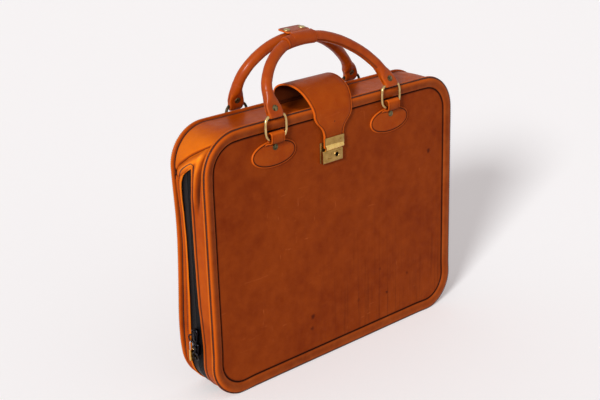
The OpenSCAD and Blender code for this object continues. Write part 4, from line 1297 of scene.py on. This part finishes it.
def addNeck(name, centreX, side, body):
    # up over the ring's bar and back down behind it
    c = chapeForm
    path = list(c["neckFoot"])
    for angle in range(-75, 250, 15):
        out = math.cos(math.radians(angle)), math.sin(math.radians(angle))
        rise = c["barRise"] * (-1 < angle < 181)
        path.append(((c["barDepth"] + c["barRadius"] * out[0], c["barZ"] + c["barRadius"] * out[1] + rise),
                     out, c["neckHalf"]))
    path.append(((39.2, 377), (-1, 0), c["neckHalf"]))
    rows, tones = [], []
    for (y, z), out, half in path:
        size = math.hypot(*out)
        row, rowTones = [], []
        for across, lift, tone in strapSection(half, 2.0, 0.8, 2.6):
            lift -= 1.0
            # painted shade at the neck's foot and low on it, and a painted highlight over the top of the bar
            shade = tone * 0.45 - 0.8 * smooth(374.2, 373.2, z) * (y > 39)
            shade += (0.7 * smooth(391, 394.5, z) - 0.3 * smooth(388, 380, z)) * (lift > -0.5)
            row.append((centreX + across, side * (y + out[0] / size * lift), z + out[1] / size * lift))
            rowTones.append(shade)
        rows.append(row)
        tones.append(rowTones)
    addLoft(name + "_neck", rows, "strap", body, tones=tones)


def addChapes():
    for half, side, body in halves:
        for which, centreX in chapeForm["centres"].items():
            name = f"{half}_{which}"
            addPlate(name, centreX, side, body)
            addNeck(name, centreX, side, body)
            rivet = addRivet(name + "_plate_rivet", (centreX + 1.5, side * 40.0, 370.5), (0, side, 0),
                             chapeForm, "antique", body)
            if which == "left":
                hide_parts(half + "_chape_rivets")


# handles: rolled leather over a cord, with flattened ends folded round the rings
handleForm = {
    "lean": 20.9, "depth": 44.8233, "z": 421,
    "gripRadius": 8.25, "cordRadius": 4.5,
    "gripFrom": 24,        # the rolled grip starts inside the folded ends
    "wrinkle": 0.45,       # on the inside of its bends
    "seamTurn": math.pi * 1.14, "seamDeep": 0.6, "seamWide": 0.14,
    "feet": 119,
    "paths": {   # along the case and up the handle, from one foot's bar to the other's
        "front": [(-119, 0), (-120.6, 12), (-122, 27), (-120, 44), (-108.6, 64), (-91.6, 80.5), (-71.2, 91.9),
                  (-51, 97), (-30.3, 98.3), (-9, 97.4), (14, 92.8), (45, 79.6), (74, 60.8), (97.2, 38.5),
                  (108.5, 21), (115.5, 8), (119, 0)],
        "rear": [(-119, 0), (-122.5, 12), (-124, 29), (-119.5, 47.5), (-107.8, 66), (-90.3, 81.3),
                 (-71, 91.7), (-51, 96.9), (-30.3, 98.1), (-8, 96.3), (15, 90), (44, 75.5), (71.6, 56),
                 (94, 35), (106.5, 19), (114.5, 8), (119, 0)],
    },
    "end": [   # distance along from the ring's bar, half width, half thickness, squareness, tone
        (-5.4, 8.5, 1.2, 3, 0), (-5.0, 10.6, 3.0, 3.4, 0.2), (-3.8, 12.2, 4.4, 4, 0.1),
        (-1.8, 13.2, 5.2, 4, 0), (1, 13.6, 5.5, 4, 0), (4, 13.5, 5.3, 4.5, 0), (6.5, 13.3, 4.9, 5, 0),
        (9, 13.0, 4.65, 5, 0),
        (11, 12.7, 4.6, 5, 0), (13.5, 12.3, 4.9, 4.3, 0), (16.5, 11.7, 5.8, 3.6, 0), (19.5, 10.9, 6.8, 3, 0),
        (22.5, 10.0, 7.7, 2.5, 0), (25.5, 9.2, 8.3, 2.2, 0), (29, 8.75, 8.6, 2, 0), (33, 8.5, 8.5, 2, 0),
        (36, 8.35, 8.35, 2, 0), (36.6, 8.0, 8.0, 2, -0.3)],
    "reach": {"front": 1, "rear": 2.1},       # how far the ends go on below the rings' bars
    "rivet": 9.8, "rivetHigh": 1.5,
    "rivetUp": 8.5, "rivetSeat": 4.55,        # above the bar, and out from the middle of the end
}


def handlePlace(side, u, v, n):
    # a point of a handle's own plane: along the case, up the handle and out of its plane
    h = handleForm
    a = math.radians(h["lean"])
    return Vector((fittingX + u, side * (h["depth"] - v * math.sin(a) - n * math.cos(a)),
                   h["z"] + v * math.cos(a) - n * math.sin(a)))


def addRivet(name, centre, out, form, finish, body):
    # a low dome with a rim and a pressed ring
    out = Vector(out).normalized()
    side = out.orthogonal().normalized()
    other = out.cross(side)
    r, h = form["rivet"] / 2, form["rivetHigh"]
    rows = []
    for share, lift in ((1, -0.6), (1, 0.3), (0.95, 0.62), (0.86, 0.72), (0.8, 0.6), (0.74, 0.68),
                        (0.6, 0.86), (0.35, 0.97), (0.12, 1.0)):
        middle = Vector(centre) + out * h * lift
        rows.append([middle + (side * math.cos(a) + other * math.sin(a)) * r * share for a in turns(28)])
    return addLoft(name, rows, finish, body)


ringForm = {"middleZ": 402.2, "wide": 39.5, "high": 37.6, "square": 3.1, "wire": 4.3}


def addRing(name, x, y, body, node):
    # squared wire, a little uneven
    r = ringForm
    rows = []
    for a in turns(72):
        here, ahead = [(squared(math.cos(t), 2 / r["square"]) * r["wide"] / 2,
                        squared(math.sin(t), 2 / r["square"]) * r["high"] / 2) for t in (a, a + 0.02)]
        way = Vector((ahead[0] - here[0], ahead[1] - here[1])).normalized()
        wire = r["wire"] / 2 * (1 + 0.03 * drift(here[0], here[1], x, 9))
        rows.append([(x + here[0] + way.y * math.cos(t) * wire, y + math.sin(t) * wire,
                      r["middleZ"] + here[1] - way.x * math.cos(t) * wire) for t in turns(14)])
    # the rear rings take a darker copy of the brass: painted shade
    ring = addLoft(name, rows, "ring" if y < 0 else "darkRing", body, loopRows=True)
    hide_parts(node)


def handleLine(half):
    # the handle's whole length, and a function that gives the place and the way at a distance along it
    line = curveThrough(handleForm["paths"][half], 2.6)
    lengths = [0]
    for (a, _), (b, _) in zip(line, line[1:]):
        lengths.append(lengths[-1] + math.dist(a, b))

    def onLine(distance):
        i = max(k for k in range(len(line) - 1) if lengths[k] <= max(distance, 0))
        (a, way), (b, wayB) = line[i], line[i + 1]
        t = (distance - lengths[i]) / (lengths[i + 1] - lengths[i])
        u, v = a[0] + (b[0] - a[0]) * t, a[1] + (b[1] - a[1]) * t
        t = min(1, max(0, t))
        way = Vector((way[0] * (1 - t) + wayB[0] * t, way[1] * (1 - t) + wayB[1] * t)).normalized()
        return u, v, way.x, way.y
    return onLine, lengths[-1]


def addGrip(half, side, body, onLine, whole):
    h = handleForm
    rows, tones, cords = [], [], []
    long = whole - 2 * h["gripFrom"]
    count = round(long / 2.6)
    for k in range(count + 1):
        distance = h["gripFrom"] + long * k / count
        u, v, du, dv = onLine(distance)

        def place(a, r):
            return handlePlace(side, u - dv * math.cos(a) * r, v + du * math.cos(a) * r, math.sin(a) * r)
        before, after = onLine(distance - 6), onLine(distance + 6)
        bend = (before[2] * after[3] - before[3] * after[2]) / 12      # turning per mm
        wrinkle = smooth(0.009, 0.02, abs(bend)) * max(0, math.sin(k * 2.3 + 1.3 * math.sin(k * 0.7)))
        row, rowTones = [], []
        for a in turns(32):
            # wrinkled on the inside of its bends, with one sunk seam
            r = h["gripRadius"] - h["wrinkle"] * wrinkle * max(0, -math.cos(a))
            r += 0.2 * drift(u, v, 9 * math.cos(a) + side * 50, 14) + 0.12 * drift(u, v, 20 * math.sin(a), 5)
            fromSeam = (a - h["seamTurn"]) % (2 * math.pi)
            seam = bell(min(fromSeam, 2 * math.pi - fromSeam), 0, h["seamWide"])
            row.append(place(a, r - h["seamDeep"] * seam))
            rowTones.append(-0.8 * seam)
        rows.append(row)
        tones.append(rowTones)
        cords.append([place(a + k * 0.35, h["cordRadius"] + 0.45 * math.cos(3 * a)) for a in turns(18)])
    grip = addLoft(half + "_rolled_grip", rows, "grip", body, tones=tones)
    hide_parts(half + "_grip")
    core = addLoft(half + "_cord_core", cords, "cord", body)
    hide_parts(half + "_grip_core")


def addHandleEnd(half, side, body, foot, onLine, whole):
    # folded round the ring's bar and flattened, with a rivet through it
    h = handleForm
    name = "left" if foot < 0 else "right"
    rows, tones = [], []
    for d, wide, thick, square, tone in h["end"]:
        u, v, du, dv = onLine(max(d, 0) if foot < 0 else whole - max(d, 0))
        if d < 0:
            d *= h["reach"][half]
            v += d
        # the end starts square to the bar and turns into the grip's direction
        share = smooth(2, 26, d)
        way = Vector((-foot * du * share, abs(dv) * share + 1 - share)).normalized()
        row, rowTones = [], []
        for a in turns(44):
            flat = squared(math.cos(a), 2 / square) * wide
            dn = squared(math.sin(a), 2 / square) * thick
            fold = smooth(2, 5, d) * smooth(24, 17, d) * bell(dn, 0, 0.9) * (abs(math.cos(a)) > 0.5)
            rowTones.append(tone - fold + 0.3 * smooth(wide - 2.2, wide - 0.6, abs(flat)) * (d < 22))
            flat -= math.copysign(0.9 * fold, flat)
            row.append(handlePlace(side, u + way.y * flat, v - way.x * flat, dn))
        rows.append(row)
        tones.append(rowTones)
    end = addLoft(f"{half}_handle_end_{name}", rows, "grip", body, tones=tones)
    u, v, _, _ = onLine(h["rivetUp"] if foot < 0 else whole - h["rivetUp"])
    out = handlePlace(side, u, v, 1) - handlePlace(side, u, v, 0)
    for face, where in ((1, "outer"), (-1, "inner")):
        rivet = addRivet(f"{half}_{name}_handle_rivet_{where}",
                         handlePlace(side, u, v, h["rivetSeat"] * face), out * face, h, "antique", body)
        if foot < 0 and face > 0:
            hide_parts(half + "_handle_ends")
            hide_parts(half + "_handle_rivets")


def addHandles():
    h = handleForm
    for half, side, _ in halves:
        body = half + "_handle"
        onLine, whole = handleLine(half)
        addGrip(half, side, body, onLine, whole)
        for foot in (-1, 1):
            addHandleEnd(half, side, body, foot, onLine, whole)
        for foot, name in ((-1, "left"), (1, "right")):
            addRing(f"{half}_{name}_bent_ring", fittingX + foot * h["feet"], side * h["depth"],
                    half + "_rings", f"{half}_{name}_ring")


# sleeve round the front grip, with the snapped tab
sleeveForm = {
    "arc": (-30.309, -121.944), "arcRadius": 220,       # the grip's bend under it
    "radius": 9.95, "bore": 8.6, "long": 57,
    "half": 7.4, "shift": 2.1,             # degrees of the bend
    "line": 2.9,
}
tabForm = {
    "x": -43.4, "y": -6.843, "z": 522.4, "slope": 5.5,
    "wide": 44, "high": 27, "square": 7,   # along the sleeve and over the grips
    "thick": 2.6,
    "inMost": 3.9, "shrinkOver": 9.6,      # from here inwards its rings shrink towards its middle
    "shrinkAlong": 0.42,
    "root": [(-19.4, 514.6), (-18.4, 517.8), (-15.8, 520.9), (-12.4, 522.9), (-9, 523.7), (-7.2, 523.6),
             (-7.2, 521.6), (-10, 521.2), (-14, 519.4), (-16.8, 516.8)],
    "snaps": {"left": -14.8, "right": 14.4},
    "rivet": 10.4, "rivetHigh": 2.1,
}


def addSleeve():
    s = sleeveForm
    (cu, cv), r, whole = s["arc"], s["arcRadius"], s["long"]
    ends = [(0, s["bore"]), (0, s["radius"] - 0.5), (0.25, s["radius"] - 0.1)]
    ends += [(t, s["radius"]) for t in (0.6, 2.2, 2.5, 2.9, 3.3, 3.6)]
    places = ends + [(6 + (whole - 12) * i / 10, s["radius"]) for i in range(11)]
    places += [(whole - t, radius) for t, radius in reversed(ends)]
    rows, tones = [], []
    for t, radius in places:
        angle = math.radians(90 + s["shift"] + s["half"] - 2 * s["half"] * t / whole)
        nearEnd = min(t, whole - t)
        groove = bell(nearEnd, s["line"], 0.35)
        row = []
        for a in turns(32):
            out = radius - 0.35 * groove + 0.1 * drift(t, a * 4, 3, 9)
            reach = r + math.cos(a) * out
            row.append(handlePlace(-1, cu + reach * math.cos(angle), cv + reach * math.sin(angle),
                                   math.sin(a) * out))
        rows.append(row)
        tones.append([0.2 * smooth(1.2, 0.3, nearEnd) - 0.8 * groove] * len(row))
    sleeve = addLoft("sleeve_leather", rows, "sleeve", "front_handle", tones=tones)
    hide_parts("handle_sleeve")


def tabPlace(u, v, n):
    # a point of the tab: along it, over it from its root, and out of it
    t = tabForm
    a = math.radians(t["slope"])
    return Vector((t["x"] + u, t["y"] + v * math.cos(a) - n * math.sin(a),
                   t["z"] + v * math.sin(a) + n * math.cos(a)))


def addTab():
    t = tabForm
    half, middle, count = t["thick"] / 2, t["high"] / 2, 88
    rows, tones = [], []
    for inset, n, tone in ((12, -half, 0), (1, -half, 0), (0.3, -half + 0.2, 0.4), (0, -half + 0.8, 0.6),
                           (0, half - 0.9, 0.7), (0.3, half - 0.35, 0.9), (0.9, half - 0.05, 0.7),
                           (1.6, half, 0.2), (2.0, half - 0.2, -0.6), (2.4, half - 0.3, -0.9),
                           (2.8, half - 0.2, -0.6), (3.4, half, 0), (8, half + 0.15, 0), (12, half + 0.2, 0)):
        shrink = max(0, inset - t["inMost"]) / t["shrinkOver"]
        places = [ovalPoint(i / count, min(inset, t["inMost"]), t) for i in range(count)]
        rows.append([tabPlace(u * (1 - shrink * t["shrinkAlong"]), middle + v * (1 - shrink), n)
                     for u, v in places])
        tones.append([tone] * count)
    tab = addLoft("tab_leather", rows, "sleeve", "tab", tones=tones)
    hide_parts("handle_tab")
    # its root, where it comes out of the sleeve
    root = addPrism("tab_root", t["root"], t["x"] - t["wide"] / 2 + 1, t["x"] + t["wide"] / 2 - 1, "sleeve",
                    "front_handle", 0.5, 3)
    root.data.set_sharp_from_angle(angle=math.radians(60))
    for name, u in t["snaps"].items():
        snap = addRivet(f"tab_snap_{name}", tabPlace(u, middle - 1, half + 0.1),
                        tabPlace(0, 0, 1) - tabPlace(0, 0, 0), t, "snap", "tab")
        if name == "left":
            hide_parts("tab_snaps")


# zip sliders, pull rings and the padlock
hardwareForm = {
    "sliders": {"upper": (2.0, 98.3), "lower": (1.0, 75.7)},      # middle: depth, height
    "shoulder": 6.4, "foot": 4.6, "halfLong": 10.8, "low": -258.3, "high": -262.4, "bridge": -264.2,
    "ribDepths": {"front": -3.9, "rear": 3.9}, "ribHeights": (-6.5, -6, 0, 7, 7.6),
    "pulls": {   # middle, radius, wire, tilt
        "upper": ((-261.9, 11.75, 91.0), 6.1, 1.7, 0),
        "lower": ((-263.6, 0.4, 66.2), 6.6, 2.1, 0.22)},
    "eyes": {    # the smaller rings that join both sliders' pulls
        "upper": ((-264.4, 1.2, 105.4), 4.6, 1.7, 0.35),
        "lower": ((-264.6, 1.0, 80.2), 3.6, 1.6, 0.3)},
    "dressed": {"padlock_shackle": "steel", "padlock_body": "padlockBrass", "front_board": "board",
                "rear_board": "board"},
}


def addFlatRing(name, middle, radius, wire, tilt, body):
    # a round ring of wire lying against the side, tilted out a little
    over = Vector((-math.cos(tilt), 0, -math.sin(tilt)))
    rows = []
    for a in turns(48):
        out = Vector((-math.sin(tilt) * math.sin(a), math.cos(a), math.sin(a) * math.cos(tilt)))
        centre = Vector(middle) + out * radius
        rows.append([tuple(centre + (out.normalized() * math.cos(t) + over * math.sin(t)) * wire / 2)
                     for t in turns(12)])
    return addLoft(name, rows, "zipMetal", body, loopRows=True)


def addSlider(name, body):
    h = hardwareForm
    (y0, z0), low, high = h["sliders"][name], h["low"], h["high"]
    outline = []
    for a in turns(40):
        wide = h["foot"] + (h["shoulder"] - h["foot"]) * smooth(-0.2, 0.5, math.sin(a))
        outline.append((squared(math.cos(a), 0.6) * wide, squared(math.sin(a), 0.7) * h["halfLong"]))
    rows = [[(x, y0 + u * share, z0 + w * share) for u, w in outline] for share, x in
            ((1, low), (1, high + 1.2), (0.96, high + 0.4), (0.86, high), (0.5, high - 0.15))]
    shell = addLoft(name + "_slider_shell", rows, "zipMetal", body)
    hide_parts(name + "_slider")
    # the bridge that holds the pull, over the shell from end to end
    rows = []
    for i in range(17):
        z = z0 + 8.2 * math.cos(math.pi * (i / 16))
        x = high + 0.4 + (h["bridge"] - high - 0.4) * math.sin(math.pi * (i / 16)) ** 0.6
        rows.append([(x + 0.75 * math.sin(a), y0 + 2.0 * math.cos(a), z) for a in turns(12)])
    addLoft(name + "_slider_bridge", rows, "zipMetal", body)
    # two raised ribs on its face
    for where, depth in h["ribDepths"].items():
        rows = [[(high - 0.1 + 0.55 * math.sin(a), y0 + depth + 0.6 * math.cos(a), z0 + z) for a in turns(10)]
                for z in h["ribHeights"]]
        addLoft(f"{name}_slider_rib_{where}", rows, "zipMetal", body)


def addHardware():
    h = hardwareForm
    for name in ("upper", "lower"):
        addSlider(name, name + "_slider_body")
        ring = addFlatRing(name + "_ring_pull", *h["pulls"][name], name + "_pull")
        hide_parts(name + "_pull_ring")
    for name in ("upper", "lower"):
        addFlatRing(name + "_slider_eye", *h["eyes"][name], name + "_slider_body")
    for node, finish in h["dressed"].items():
        dressNode(node, finish)


addRims()
print("rims done")
addPanels()
print("panels done")
addGussets()
print("gussets done")
addZip()
addInside()
print("zip and inside done")
addFlap()
addLock()
print("flap and lock done")
addChapes()
addHandles()
addSleeve()
addTab()
addHardware()
print("handles done")

# floor, light and camera
studioForm = {
    "floor": (0.872, 0.884, 0.89, 1), "floorGlow": 0.165, "glowColour": (0.97, 1, 1, 1), "floorHalf": 8,
    "towardsLight": (-0.81, -0.41, 0.41), "lightLevel": 3.25, "softness": 12,
    "sky": 0.45, "skySeen": 0.93, "skyTint": (1.0, 0.88, 0.875, 1),
}


def seenDirectly(tree):
    # 1 for what the camera sees, also through a reflection or glass, and 0 for the light on the pieces
    path = addNode(tree, "LightPath").outputs
    seen = addMath(tree, "MAXIMUM", path["Is Camera Ray"], path["Is Glossy Ray"])
    return addMath(tree, "MAXIMUM", seen, path["Is Transmission Ray"])


def addFloor():
    s = studioForm
    material, tree, shader = startMaterial("paleFloor")
    shader.inputs["Base Color"].default_value = s["floor"]
    shader.inputs["Roughness"].default_value = 0.85
    shader.inputs["Specular IOR Level"].default_value = 0.1
    shader.inputs["Emission Color"].default_value = s["glowColour"]
    glow = addMath(tree, "MULTIPLY", seenDirectly(tree), s["floorGlow"])
    tree.links.new(glow, shader.inputs["Emission Strength"])
    mesh = bpy.data.meshes.new("floor")
    corners = [(x * s["floorHalf"], y * s["floorHalf"], -0.0005)
               for x, y in ((-1, -1), (1, -1), (1, 1), (-1, 1))]
    mesh.from_pydata(corners, [], [(0, 1, 2, 3)])
    mesh.materials.append(material)
    floor = bpy.data.objects.new("floor", mesh)
    bpy.context.scene.collection.objects.link(floor)


def addLight():
    s = studioForm
    world = bpy.data.worlds.new("studio")
    bpy.context.scene.world = world
    world.use_nodes = True
    tree = world.node_tree
    background = tree.nodes["Background"]
    seen = seenDirectly(tree)
    tree.links.new(addRange(tree, seen, 0, 1, s["sky"], s["skySeen"]), background.inputs["Strength"])
    tree.links.new(addMix(tree, seen, s["skyTint"], (1, 1, 1, 1)), background.inputs["Color"])
    lamp = bpy.data.lights.new("keyLight", "SUN")
    lamp.energy = s["lightLevel"]
    lamp.angle = math.radians(s["softness"])
    light = bpy.data.objects.new("keyLight", lamp)
    light.location = Vector(s["towardsLight"]) * 3
    light.rotation_euler = (-Vector(s["towardsLight"])).to_track_quat("-Z", "Y").to_euler()
    bpy.context.scene.collection.objects.link(light)


cameraForm = {
    "place": (-1.17160, -1.27503, 0.87161),
    "right": (0.74281, -0.66887, -0.02895),
    "up": (0.24777, 0.23447, 0.94002),
    "back": (-0.62196, -0.70543, 0.33989),
    "lens": 69.83,
}


def addCamera():
    c = cameraForm
    lens = bpy.data.cameras.new("camera")
    lens.lens = c["lens"]
    lens.sensor_width = 36
    lens.clip_start = 0.05
    camera = bpy.data.objects.new("camera", lens)
    turn = Matrix((c["right"], c["up"], c["back"])).transposed().to_4x4()
    camera.matrix_world = Matrix.Translation(c["place"]) @ turn
    bpy.context.scene.collection.objects.link(camera)
    bpy.context.scene.camera = camera
    bpy.context.scene.view_settings.view_transform = "Standard"


addFloor()
addLight()
addCamera()
print("studio done")
